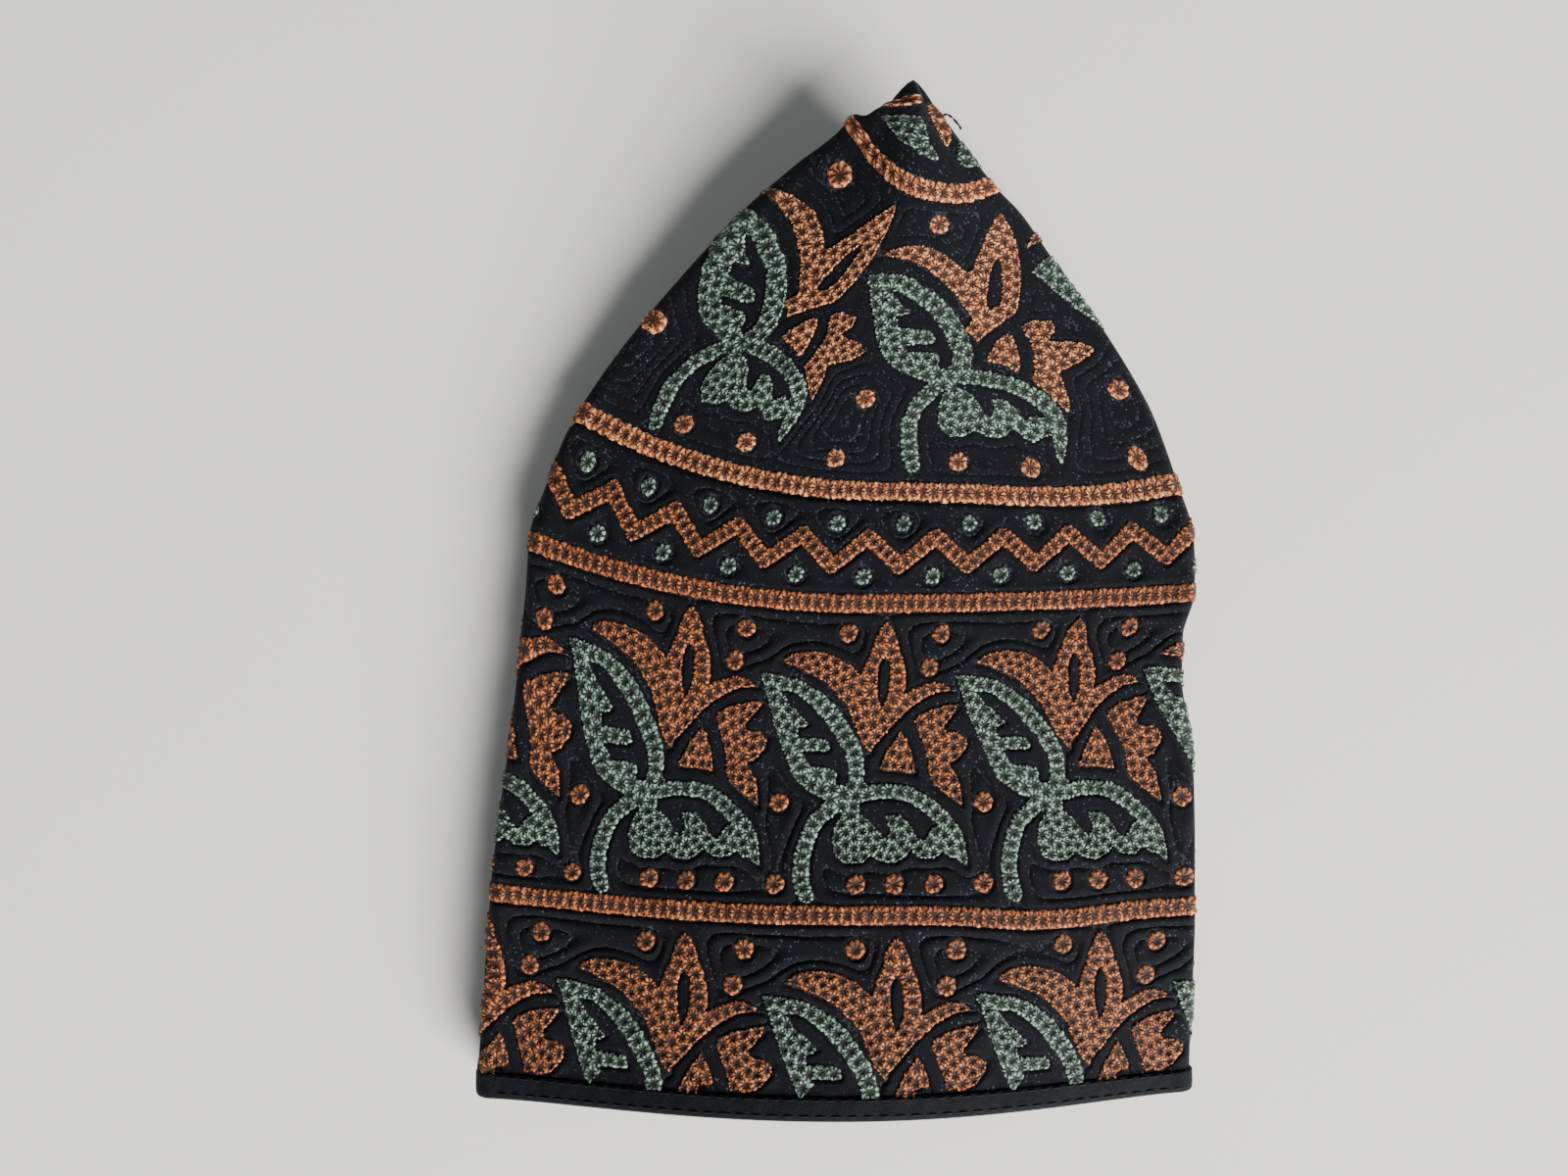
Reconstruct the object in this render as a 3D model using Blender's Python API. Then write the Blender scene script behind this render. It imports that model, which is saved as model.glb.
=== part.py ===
"""Omani cap, a soft round cap with a flat crown, folded into a quarter and lying on its back.

The cap is a tall side band, a round crown sewn to its upper edge, and a tape that binds its
lower edge.  Folded, the band is four layers: a front panel, a back panel, and on each side a
pleat that goes in as a valley between them.  The crown is creased the same way, and its point
stands clear of the surface.

Every piece is a strip of one cloth surface.  The surface is a loft through the rows of the table
below, from the tip (row station 0) to the lower edge.  Each row is a closed belt: it runs over
the front panel, round an outer fold, in to the valley, out again, round the lower fold and back
along the floor.  X runs across the folded cap, Y from the mouth to the tip, and Z up.
"""
import math

import bpy
import numpy as np

# Driving sizes, in metres
WALL = 0.0020            # quilted and embroidered cotton, both layers together
PANEL_WIDTH = 0.1396     # folded width across the lower edge
CROWN_RUN = 0.0808       # tip to crown seam, down the middle of the front panel
BAND_HEIGHT = 0.1172     # crown seam to lower edge, down the middle of the front panel
LOFT = 0.0110            # how far the front panel springs up over the mouth
TIP_LIFT = 0.0212        # how far the back of the tip stands above the surface
SEAM_GAP = 0.0003        # clearance between sewn neighbours
TAPE_WIDTH = 0.0046      # binding seen on the front
TAPE_WALL = 0.0005       # binding cloth
EDGE_WALL = 0.0010       # band cloth where the binding presses it flat

# Folds, worked out from the cloth that they turn
FOLD_RADIUS = 0.95 * WALL            # outer folds, at mid wall
VALLEY_RADIUS = 0.80 * WALL          # inner folds, at mid wall
STACK = 4.0 * FOLD_RADIUS + 2.0 * VALLEY_RADIUS + 0.05 * WALL   # four layers at a fold

# Mesh steps
FRONT_STEPS = 20         # across the front panel
PLEAT_STEPS = 9          # across each of the four pleat layers
BACK_STEPS = 12          # across the back panel
FOLD_STEP = 0.0010       # length of a face on a fold
RUN_STEPS = (            # steps of half a row's runs, and whether a fold is at their start and end
    (FRONT_STEPS // 2, False, True),
    (PLEAT_STEPS, True, True),
    (PLEAT_STEPS, True, True),
    (BACK_STEPS // 2, True, False),
)
FOLD_FACES = 3           # short faces next to each fold
WIDEST_STEP = 3          # longest face as a multiple of the first one past the fold
EDGE_FACES = 6           # round the binding's folded edge

# Rows of the loft.  Lengths are shares: station of CROWN_RUN on the crown and of BAND_HEIGHT on
# the band, middle, left, right, bow_left and bow_right of PANEL_WIDTH, lift of TIP_LIFT, stack of
# STACK, loft of LOFT, and pleat of the row's own half width.  left and right are the distances
# from the middle line to the folds, and a bow is how far a row's end lies nearer the tip than its
# middle does.
COLUMNS = ("station", "middle", "left", "right", "bow_left", "bow_right",
           "lift", "stack", "loft", "pleat")
CROWN_ROWS = (
    # station middle  left   right  bow_l   bow_r   lift   stack  loft  pleat
    (0.022,  0.115,  0.037, 0.032, -0.006, -0.013, 0.980, 0.450, 0.08, 0.00),   # blunt tip
    (0.057,  0.115,  0.063, 0.046,  0.004, -0.007, 0.900, 0.560, 0.15, 0.00),   # petals
    (0.243,  0.114,  0.097, 0.117,  0.092,  0.012, 0.530, 1.000, 0.28, 0.00),   # ring
    (0.354,  0.107,  0.167, 0.170,  0.105,  0.036, 0.350, 1.080, 0.34, 0.35),
    (0.472,  0.097,  0.229, 0.226,  0.118,  0.047, 0.200, 1.140, 0.38, 0.72),
    (0.713,  0.075,  0.331, 0.338,  0.129,  0.068, 0.060, 1.130, 0.44, 0.86),   # flowers
    (0.849,  0.064,  0.389, 0.402,  0.125,  0.061, 0.015, 1.050, 0.47, 0.89),
    (1.000,  0.054,  0.438, 0.456,  0.123,  0.028, 0.000, 1.000, 0.50, 0.90),   # crown seam
)
BAND_ROWS = (
    (0.080,  0.047,  0.464, 0.482,  0.107,  0.022, 0.000, 1.000, 0.48, 0.90),   # zigzag
    (0.174,  0.037,  0.482, 0.491,  0.094,  0.019, 0.000, 1.000, 0.43, 0.90),   # second stripe
    (0.250,  0.034,  0.482, 0.475,  0.086,  0.018, 0.000, 1.000, 0.41, 0.90),   # right nick
    (0.323,  0.029,  0.483, 0.477,  0.072,  0.018, 0.000, 1.000, 0.41, 0.90),
    (0.435,  0.022,  0.490, 0.496,  0.019,  0.011, 0.000, 1.000, 0.42, 0.90),   # main flowers
    (0.561,  0.015,  0.496, 0.503,  0.014,  0.004, 0.000, 1.000, 0.52, 0.90),
    (0.683,  0.009,  0.499, 0.506,  0.022,  0.003, 0.000, 1.000, 0.68, 0.90),   # third stripe
    (0.834,  0.008,  0.504, 0.500,  0.021,  0.007, 0.000, 1.000, 0.85, 0.90),   # lower flowers
    (0.937,  0.004,  0.505, 0.497,  0.010,  0.010, 0.000, 1.000, 0.96, 0.90),
    (1.000,  0.001,  0.502, 0.499,  0.004,  0.013, 0.000, 1.000, 1.00, 0.90),   # lower edge
)
RIM = CROWN_RUN                      # stations in metres from the tip
HEM = CROWN_RUN + BAND_HEIGHT
ROUND_END = 0.45                     # fold radius of an unpleated row, as a share of its height
ROUND_BELOW = 0.38                   # a row this much thinner than STACK is fully round


def loft_rows():
    """The table in metres: a row's place along the middle line, and its columns as arrays."""
    crown = np.array(CROWN_ROWS)
    band = np.array(BAND_ROWS)
    place = np.concatenate([crown[:, 0] * CROWN_RUN, RIM + band[:, 0] * BAND_HEIGHT])
    units = dict(middle=PANEL_WIDTH, left=PANEL_WIDTH, right=PANEL_WIDTH, bow_left=PANEL_WIDTH,
                 bow_right=PANEL_WIDTH, lift=TIP_LIFT, stack=STACK, loft=LOFT, pleat=1.0)
    rows = np.concatenate([crown, band])
    return place, {name: rows[:, COLUMNS.index(name)] * unit for name, unit in units.items()}


def through(place, values, at):
    """Cubic curve through the rows that never overshoots: slopes are harmonic means."""
    step = np.diff(place)
    slope = np.diff(values) / step
    before, after = slope[:-1], slope[1:]
    same_way = before * after > 0
    safe_sum = np.where(same_way, before + after, 1.0)
    inner = np.where(same_way, 2.0 * before * after / safe_sum, 0.0)
    slopes = np.concatenate([slope[:1], inner, slope[-1:]])
    i = int(np.clip(np.searchsorted(place, at) - 1, 0, len(place) - 2))
    t = (at - place[i]) / step[i]
    return (values[i] * (1 + 2 * t) * (1 - t) ** 2 + step[i] * slopes[i] * t * (1 - t) ** 2
            + values[i + 1] * t * t * (3 - 2 * t) - step[i] * slopes[i + 1] * t * t * (1 - t))


PLACES, TABLE = loft_rows()


def row_sizes(at):
    """All sizes of the row at a distance from the tip."""
    return {name: float(through(PLACES, values, at)) for name, values in TABLE.items()}


def arc(centre, radius, start, end, count=24):
    """Points on a circle from one angle to another."""
    angles = np.linspace(start, end, count)
    return np.stack([centre[0] + radius * np.cos(angles), centre[1] + radius * np.sin(angles)], 1)


def half_belt(reach, floor, edge, loft, pleat, out):
    """One side of a row in the X-Z plane, as four runs: front, upper pleat, lower pleat, back.

    The front falls from the middle to the fold as loft * (1 - s^2)^1.5.  The folds and the
    valley are circles, joined by the straight lines that touch both.  out moves the whole row
    out of the cloth: outer folds grow by it and valleys shrink.
    """
    gap = edge - floor
    roundness = min(1.0, max(0.0, (STACK - gap) / (ROUND_BELOW * STACK)))
    fold = FOLD_RADIUS + roundness * (ROUND_END * gap - FOLD_RADIUS)
    valley = VALLEY_RADIUS
    upper = np.array([reach - fold, edge - fold])
    lower = np.array([reach - fold, floor + fold])
    deep = pleat * reach
    height = 0.5 * (upper[1] + lower[1]) + 0.5 * loft * pleat
    inner = np.array([reach - deep + valley, height if deep > 0 else 0.5 * (edge + floor)])

    to_valley = inner - upper
    to_lower = lower - inner
    bearing = math.atan2(to_valley[1], to_valley[0])
    if bearing > math.pi / 2:
        bearing -= 2 * math.pi
    leave = bearing + math.acos(min(1.0, (fold + valley) / np.hypot(*to_valley)))
    turn = math.atan2(to_lower[1], to_lower[0]) - math.acos(
        min(1.0, (fold + valley) / np.hypot(*to_lower)))
    turn %= 2 * math.pi
    fold += out
    valley -= out
    edge += out
    floor -= out

    across = np.linspace(0.0, 1.0, 60)
    front = np.stack([across * upper[0], edge + loft * (1 - across ** 2) ** 1.5], 1)
    back = np.stack([across[::-1] * upper[0], np.full(60, floor)], 1)
    return (
        np.concatenate([front, arc(upper, fold, math.pi / 2, 0.0)]),
        np.concatenate([arc(upper, fold, 0.0, leave), arc(inner, valley, leave + math.pi, math.pi)]),
        np.concatenate([arc(inner, valley, math.pi, turn), arc(lower, fold, turn - math.pi, 0.0)]),
        np.concatenate([arc(lower, fold, 0.0, -math.pi / 2), back]),
    )


def spaced(run, guide, count, dense_start, dense_end):
    """Resample a run: short steps near a fold, and longer ones towards the open end.

    The steps are measured on the guide, the same run in the middle of the wall.
    """
    length = np.concatenate([[0.0], np.cumsum(np.hypot(*np.diff(guide, axis=0).T))])
    short = min(FOLD_STEP, length[-1] / count)
    step = np.arange(count)
    from_start = step - FOLD_FACES + 1 if dense_start else step + count
    from_end = count - FOLD_FACES - step if dense_end else 2 * count - step
    swell = np.clip(np.minimum(from_start, from_end), 0, WIDEST_STEP)
    steps = short + (length[-1] - short * count) * swell / swell.sum()
    at = np.concatenate([[0.0], np.cumsum(steps)])
    return np.stack([np.interp(at, length, run[:, 0]), np.interp(at, length, run[:, 1])], 1)


def belt(at, out=0.0):
    """The closed row at a distance from the tip, as points (x, y, z) in the cap's own frame.

    It starts at the left outer fold and runs over the front.  out is its distance from the middle
    of the wall, positive on the outside.
    """
    size = row_sizes(at)
    floor = WALL / 2 + size["lift"]
    edge = floor + size["stack"]
    sides = []
    for reach, bow in ((size["left"], size["bow_left"]), (size["right"], size["bow_right"])):
        reach -= WALL / 2
        sizes = (reach, floor, edge, size["loft"], size["pleat"])
        runs = [spaced(run, guide, *steps) for run, guide, steps
                in zip(half_belt(*sizes, out), half_belt(*sizes, 0.0), RUN_STEPS)]
        sides.append([np.column_stack([run[:, 0], bow * (run[:, 0] / reach) ** 2, run[:, 1]])
                      for run in runs])
    left, right = sides
    mirror = np.array([-1.0, 1.0, 1.0])
    loop = ([left[0][::-1][:-1] * mirror] + [run[:-1] for run in right]
            + [run[::-1][:-1] * mirror for run in reversed(left[1:])])
    points = np.concatenate(loop)
    return points + np.array([size["middle"], -at, 0.0]) - ORIGIN


def own_origin():
    """Middle of the folded outline, so that the cap's frame starts under its centre."""
    stations = np.linspace(PLACES[0], PLACES[-1], 400)
    rows = [row_sizes(at) for at in stations]
    low_x = min(row["middle"] - row["left"] for row in rows)
    high_x = max(row["middle"] + row["right"] for row in rows)
    return np.array([(low_x + high_x) / 2, (WALL / 2 - HEM) / 2, 0.0])


ORIGIN = own_origin()


def material(name, colour, roughness):
    """Matt cloth in one colour."""
    made = bpy.data.materials.new(name)
    made.use_nodes = True
    shader = made.node_tree.nodes["Principled BSDF"]
    shader.inputs["Base Color"].default_value = (*colour, 1.0)
    shader.inputs["Roughness"].default_value = roughness
    shader.inputs["Metallic"].default_value = 0.0
    made.diffuse_color = (*colour, 1.0)
    return made


def cloth_piece(name, rings, finish, poles=None):
    """A closed cloth solid: quads skinned from ring to ring, out along one side and back inside.

    The last ring meets the first, or with poles each of the two is closed by a fan to its pole.
    """
    around = len(rings[0])
    points = np.concatenate(rings)
    strips = len(rings) if poles is None else len(rings) - 1
    faces = []
    for row in range(strips):
        upper, lower = row * around, (row + 1) % len(rings) * around
        for i in range(around):
            j = (i + 1) % around
            faces.append((upper + i, lower + i, lower + j, upper + j))
    if poles is not None:
        first, last = len(points), len(points) + 1
        points = np.vstack([points, poles])
        end = (len(rings) - 1) * around
        faces += [(first, i, (i + 1) % around) for i in range(around)]
        faces += [(last, end + (i + 1) % around, end + i) for i in range(around)]
    mesh = bpy.data.meshes.new(name)
    mesh.from_pydata(points.tolist(), [], faces)
    mesh.materials.append(finish)
    mesh.shade_smooth()
    piece = bpy.data.objects.new(name, mesh)
    CAP.objects.link(piece)
    mesh.set_sharp_from_angle(angle=math.radians(60.0))
    return piece


def crown():
    """Round top, from the blunt tip to the crown seam.  The cloth meets itself in the tip."""
    last = RIM - SEAM_GAP / 2
    shares = (0.022, 0.065, 0.13, 0.20, 0.27, 0.34, 0.42, 0.51, 0.62, 0.75, 0.87)
    stations = [share * CROWN_RUN for share in shares] + [last]
    outside = [belt(at, WALL / 2) for at in stations]
    inside = [belt(at, -WALL / 2) for at in stations[1:]]
    outer_tip = outside[0].mean(axis=0)
    outer_tip[1] = WALL / 2 - ORIGIN[1]
    inner_tip = inside[0].mean(axis=0)
    inner_tip[1] = -WALL - ORIGIN[1]
    finish = material("crown cloth", (0.055, 0.040, 0.034), 0.85)
    return cloth_piece("crown", outside + inside[::-1], finish, (outer_tip, inner_tip))


def side_band():
    """Tall strip round the head, from the crown seam into the binding, where it is pressed thin."""
    tape_top = HEM - TAPE_WIDTH
    shares = (0.08, 0.174, 0.25, 0.323, 0.435, 0.561, 0.683, 0.80, 0.90)
    sections = [(RIM + SEAM_GAP / 2, WALL)]
    sections += [(RIM + share * BAND_HEIGHT, WALL) for share in shares]
    sections += [(tape_top - 3 * SEAM_GAP, WALL), (tape_top - SEAM_GAP, EDGE_WALL),
                 (cloth_edge(), EDGE_WALL)]
    outside = [belt(at, wall / 2) for at, wall in sections]
    inside = [belt(at, -wall / 2) for at, wall in sections]
    finish = material("band cloth", (0.035, 0.030, 0.034), 0.85)
    return cloth_piece("side_band", outside + inside[::-1], finish)


def tape_offset():
    """How far the middle of the tape's wall lies from the middle of the band's wall."""
    return EDGE_WALL / 2 + SEAM_GAP + TAPE_WALL / 2


def cloth_edge():
    """Where the band's cloth ends inside the binding."""
    return HEM - TAPE_WALL / 2 - tape_offset()


def tape_skin(radius):
    """One face of the tape: down the outside of the band, round its edge and up the inside."""
    top = HEM - TAPE_WIDTH
    edge = cloth_edge()
    rings = [belt(top, radius), belt((top + edge) / 2, radius)]
    for angle in np.linspace(0.0, math.pi, EDGE_FACES + 1):
        rings.append(belt(edge + radius * math.sin(angle), radius * math.cos(angle)))
    return rings + [belt((top + edge) / 2, -radius), belt(top, -radius)]


def hem_binding():
    """Plain tape folded over the lower edge."""
    outside = tape_skin(tape_offset() + TAPE_WALL / 2)
    inside = tape_skin(tape_offset() - TAPE_WALL / 2)
    finish = material("binding tape", (0.012, 0.013, 0.018), 0.75)
    return cloth_piece("hem_binding", outside + inside[::-1], finish)


for old in list(bpy.data.objects):
    bpy.data.objects.remove(old, do_unlink=True)
CAP = bpy.data.collections.new("omani cap")
bpy.context.scene.collection.children.link(CAP)
crown()
side_band()
hem_binding()
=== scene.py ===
"""Looks of an Omani cap folded flat: quilted navy cloth, eyelet embroidery in copper and grey-green
thread, and a black hem tape."""

import math
import bmesh
import bpy
import numpy as np
from mathutils import Matrix, Vector


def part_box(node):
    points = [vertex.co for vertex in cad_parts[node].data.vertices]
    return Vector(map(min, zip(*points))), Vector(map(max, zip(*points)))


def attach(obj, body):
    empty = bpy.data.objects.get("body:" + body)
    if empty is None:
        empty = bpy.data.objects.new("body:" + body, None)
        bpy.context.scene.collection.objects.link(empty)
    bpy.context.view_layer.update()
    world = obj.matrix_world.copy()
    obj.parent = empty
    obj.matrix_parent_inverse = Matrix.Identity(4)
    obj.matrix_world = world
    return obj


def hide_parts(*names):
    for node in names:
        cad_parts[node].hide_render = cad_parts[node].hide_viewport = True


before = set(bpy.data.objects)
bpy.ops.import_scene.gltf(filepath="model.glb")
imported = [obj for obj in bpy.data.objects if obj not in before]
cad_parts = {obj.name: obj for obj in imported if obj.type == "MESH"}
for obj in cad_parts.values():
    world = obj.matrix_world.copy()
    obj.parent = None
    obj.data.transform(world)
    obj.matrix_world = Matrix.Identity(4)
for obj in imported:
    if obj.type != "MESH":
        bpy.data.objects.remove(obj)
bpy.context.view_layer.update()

# Sizes of the cloth, in metres, as in the part's source.
WALL = 0.0020
PANEL_WIDTH = 0.1396
CROWN_RUN = 0.0808
BAND_HEIGHT = 0.1172
LOFT = 0.0110
TIP_LIFT = 0.0212
SEAM_GAP = 0.0003
FOLD_RADIUS = 0.95 * WALL
VALLEY_RADIUS = 0.80 * WALL
STACK = 4.0 * FOLD_RADIUS + 2.0 * VALLEY_RADIUS + 0.05 * WALL
RIM = CROWN_RUN
HEM = CROWN_RUN + BAND_HEIGHT
MM = 0.001
# Towards the tip both layers of a side end in one round edge: its radius over the height between them, and
# the share of the stack that the height has lost where the edge is fully round.
ROUND_END = 0.45
ROUND_BELOW = 0.38

# Rows of the cloth from the tip to the hem.  The station is a share of the crown's run or the band's height,
# and loft_table names the size that each other column is a share of.
COLUMNS = ("station", "middle", "left", "right", "bow_left", "bow_right",
           "lift", "stack", "loft", "pleat")
CROWN_ROWS = (
    (0.022, 0.115, 0.037, 0.032, -0.006, -0.013, 0.980, 0.450, 0.08, 0.00),
    (0.057, 0.115, 0.063, 0.046, 0.004, -0.007, 0.900, 0.560, 0.15, 0.00),
    (0.243, 0.114, 0.097, 0.117, 0.092, 0.012, 0.530, 1.000, 0.28, 0.00),
    (0.354, 0.107, 0.167, 0.170, 0.105, 0.036, 0.350, 1.080, 0.34, 0.35),
    (0.472, 0.097, 0.229, 0.226, 0.118, 0.047, 0.200, 1.140, 0.38, 0.72),
    (0.713, 0.075, 0.331, 0.338, 0.129, 0.068, 0.060, 1.130, 0.44, 0.86),
    (0.849, 0.064, 0.389, 0.402, 0.125, 0.061, 0.015, 1.050, 0.47, 0.89),
    (1.000, 0.054, 0.438, 0.456, 0.123, 0.028, 0.000, 1.000, 0.50, 0.90),
)
BAND_ROWS = (
    (0.080, 0.047, 0.464, 0.482, 0.107, 0.022, 0.000, 1.000, 0.48, 0.90),
    (0.174, 0.037, 0.482, 0.491, 0.094, 0.019, 0.000, 1.000, 0.43, 0.90),
    (0.250, 0.034, 0.482, 0.475, 0.086, 0.018, 0.000, 1.000, 0.41, 0.90),
    (0.323, 0.029, 0.483, 0.477, 0.072, 0.018, 0.000, 1.000, 0.41, 0.90),
    (0.435, 0.022, 0.490, 0.496, 0.019, 0.011, 0.000, 1.000, 0.42, 0.90),
    (0.561, 0.015, 0.496, 0.503, 0.014, 0.004, 0.000, 1.000, 0.52, 0.90),
    (0.683, 0.009, 0.499, 0.506, 0.022, 0.003, 0.000, 1.000, 0.68, 0.90),
    (0.834, 0.008, 0.504, 0.500, 0.021, 0.007, 0.000, 1.000, 0.85, 0.90),
    (0.937, 0.004, 0.505, 0.497, 0.010, 0.010, 0.000, 1.000, 0.96, 0.90),
    (1.000, 0.001, 0.502, 0.499, 0.004, 0.013, 0.000, 1.000, 1.00, 0.90),
)


def through(place, values, at):
    """Cubic curve through the values at their places that never overshoots: each slope is the harmonic mean
    of its neighbours' slopes, and nought where they differ in sign."""
    step = np.diff(place)
    slope = np.diff(values) / step
    before, after = slope[:-1], slope[1:]
    same_way = before * after > 0
    inner = np.where(same_way, 2.0 * before * after / np.where(same_way, before + after, 1.0), 0.0)
    slopes = np.concatenate([slope[:1], inner, slope[-1:]])
    i = np.clip(np.searchsorted(place, at) - 1, 0, len(place) - 2)
    t = (at - place[i]) / step[i]
    return (values[i] * (1 + 2 * t) * (1 - t) ** 2 + step[i] * slopes[i] * t * (1 - t) ** 2
            + values[i + 1] * t * t * (3 - 2 * t) - step[i] * slopes[i + 1] * t * t * (1 - t))


def loft_table():
    """The rows' distances from the tip in metres, and each column's values in metres."""
    crown = np.array(CROWN_ROWS)
    band = np.array(BAND_ROWS)
    place = np.concatenate([crown[:, 0] * CROWN_RUN, RIM + band[:, 0] * BAND_HEIGHT])
    units = dict.fromkeys(("middle", "left", "right", "bow_left", "bow_right"), PANEL_WIDTH)
    units.update(lift=TIP_LIFT, stack=STACK, loft=LOFT, pleat=1.0)
    rows = np.concatenate([crown, band])
    return place, {name: rows[:, COLUMNS.index(name)] * unit for name, unit in units.items()}


PLACES, TABLE = loft_table()


def row_sizes(at):
    """Every column of the table, read by its curve at distances from the tip."""
    return {name: through(PLACES, values, at) for name, values in TABLE.items()}


def own_origin():
    """Middle of the flat outline: half way between its widest points, and half way down its length."""
    rows = row_sizes(np.linspace(PLACES[0], PLACES[-1], 400))
    low_x = (rows["middle"] - rows["left"]).min()
    high_x = (rows["middle"] + rows["right"]).max()
    return np.array([(low_x + high_x) / 2, (WALL / 2 - HEM) / 2, 0.0])


ORIGIN = own_origin()


ARC_POINTS = 24
DOME_POINTS = 90


def arc(centre, radius, start, end):
    """Points on one circle a row: centre + radius (cos, sin) of angles spread evenly from start to end."""
    angle = start[:, None] + (end - start)[:, None] * np.linspace(0.0, 1.0, ARC_POINTS)
    return centre[:, None] + radius[:, None, None] * np.stack([np.cos(angle), np.sin(angle)], 2)


def half_belt(reach, floor, edge, loft, pleat, out):
    """Half of a row's cross-section, in four runs from the middle of the front to the middle of the back.
    The front is a dome, edge + loft (1 - s^2)^1.5, then come the outer fold, the pleat's valley, the lower
    fold and the flat back.  The runs are arcs and the straight lines that touch them, and out moves each
    line along its own normal, so folds grow by it and valleys shrink."""
    gap = edge - floor
    roundness = np.clip((STACK - gap) / (ROUND_BELOW * STACK), 0.0, 1.0)
    fold = FOLD_RADIUS + roundness * (ROUND_END * gap - FOLD_RADIUS)
    valley = np.full_like(fold, VALLEY_RADIUS)
    upper = np.stack([reach - fold, edge - fold], 1)
    lower = np.stack([reach - fold, floor + fold], 1)
    height = 0.5 * (upper[:, 1] + lower[:, 1]) + 0.5 * loft * pleat
    inner = np.stack([reach - pleat * reach + valley, height], 1)
    to_valley = inner - upper
    to_lower = lower - inner
    bearing = np.arctan2(to_valley[:, 1], to_valley[:, 0])
    bearing = np.where(bearing > np.pi / 2, bearing - 2 * np.pi, bearing)
    leave = bearing + np.arccos(np.minimum(1.0, (fold + valley) / np.hypot(*to_valley.T)))
    turn = np.arctan2(to_lower[:, 1], to_lower[:, 0]) - np.arccos(
        np.minimum(1.0, (fold + valley) / np.hypot(*to_lower.T)))
    turn = turn % (2 * np.pi)
    fold = fold + out
    valley = valley - out
    edge = edge + out
    floor = floor - out
    zero = np.zeros_like(fold)
    quarter = zero + np.pi / 2
    across = np.sin(np.linspace(0.0, np.pi / 2, DOME_POINTS))
    dome = edge[:, None] + loft[:, None] * (1 - across ** 2) ** 1.5
    front = np.stack([across * upper[:, :1], dome], 2)
    back = np.stack([across[::-1] * upper[:, :1], floor[:, None] + 0 * across], 2)
    return (
        np.concatenate([front, arc(upper, fold, quarter, zero)], 1),
        np.concatenate([arc(upper, fold, zero, leave), arc(inner, valley, leave + np.pi, zero + np.pi)], 1),
        np.concatenate([arc(inner, valley, zero + np.pi, turn), arc(lower, fold, turn - np.pi, zero)], 1),
        np.concatenate([arc(lower, fold, zero, -quarter), back], 1),
    )


def walk(run, guide, shares):
    """Points of each row's run at shares of its length, the length measured on the guide."""
    steps = np.hypot(*np.moveaxis(np.diff(guide, axis=1), 2, 0))
    length = np.concatenate([np.zeros((len(run), 1)), np.cumsum(steps, axis=1)], 1)
    at = shares * length[:, -1:]
    return np.stack([[np.interp(a, l, r[:, 0]), np.interp(a, l, r[:, 1])]
                     for a, l, r in zip(at, length, run)]).transpose(0, 2, 1)


def rings(at, shares, out):
    """Closed rows of the cloth, rows by columns by three: the half belts of the left and the right side at
    distances at from the tip, bowed by bow s^2, moved out from mid wall, and set beside the middle line."""
    size = row_sizes(at)
    floor = WALL / 2 + size["lift"]
    edge = floor + size["stack"]
    out = np.zeros_like(floor) + out
    sides = []
    for reach, bow in ((size["left"], size["bow_left"]), (size["right"], size["bow_right"])):
        reach = reach - WALL / 2
        sizes = (reach, floor, edge, size["loft"], size["pleat"])
        runs = []
        for run, guide, share in zip(half_belt(*sizes, out), half_belt(*sizes, 0 * out), shares):
            flat = walk(run, guide, share)
            y = bow[:, None] * (flat[:, :, 0] / reach[:, None]) ** 2
            runs.append(np.stack([flat[:, :, 0], y, flat[:, :, 1]], 2))
        sides.append(runs)
    left, right = sides
    mirror = np.array([-1.0, 1.0, 1.0])
    loop = ([left[0][:, ::-1][:, :-1] * mirror] + [run[:, :-1] for run in right]
            + [run[:, ::-1][:, :-1] * mirror for run in reversed(left[1:])])
    points = np.concatenate(loop, 1)
    return points + (np.stack([size["middle"], -at, 0 * at], 1) - ORIGIN)[:, None]


def around(shares):
    """Each column's place round the cap: 0 to 1 over the front from left to right, 1 to 2 in the right
    pleat, 2 to 3 over the back and 3 to 4 in the left pleat, even along each quarter."""
    front, upper, lower, back = shares
    ahead = [(0.5, front), (1.0, upper), (1.5, lower), (2.0, back)]
    behind = [(0.0, front), (2.5, back), (3.0, lower), (3.5, upper)]
    first = [behind[0][0] + 0.5 * (1 - behind[0][1][::-1][:-1])]
    there = [start + 0.5 * share[:-1] for start, share in ahead]
    home = [start + 0.5 * (1 - share[::-1][:-1]) for start, share in behind[1:]]
    return np.concatenate(first + there + home)


def shares_of(front, pleat, back):
    """Column places of the four runs, even on front and back, and closer at both ends of a pleat."""
    t = np.linspace(0.0, 1.0, pleat)
    close = t - 0.13 * np.sin(2 * np.pi * t)
    return np.linspace(0, 1, front), close, close, np.linspace(0, 1, back)


# The surface that the stitches lie on: a fine grid of places and normals, read between its points.
MAP_SHARES = shares_of(121, 41, 81)
MAP_V = np.linspace(PLACES[0], HEM + 0.0004, 492)
MAP_A = around(MAP_SHARES)
MAP_POINTS = rings(MAP_V, MAP_SHARES, WALL / 2)


def closed(rows):
    """A grid of closed rows with its first column again at the end."""
    return np.concatenate([rows, rows[:, :1]], 1)


def map_normals(points):
    """Unit normals of a grid of closed rows: the step down crossed with the step round, scaled to one."""
    down = np.gradient(points, axis=0)
    round_step = np.roll(points, -1, 1) - np.roll(points, 1, 1)
    normal = np.cross(down, round_step)
    return normal / np.maximum(np.linalg.norm(normal, axis=2, keepdims=True), 1e-12)


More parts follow.
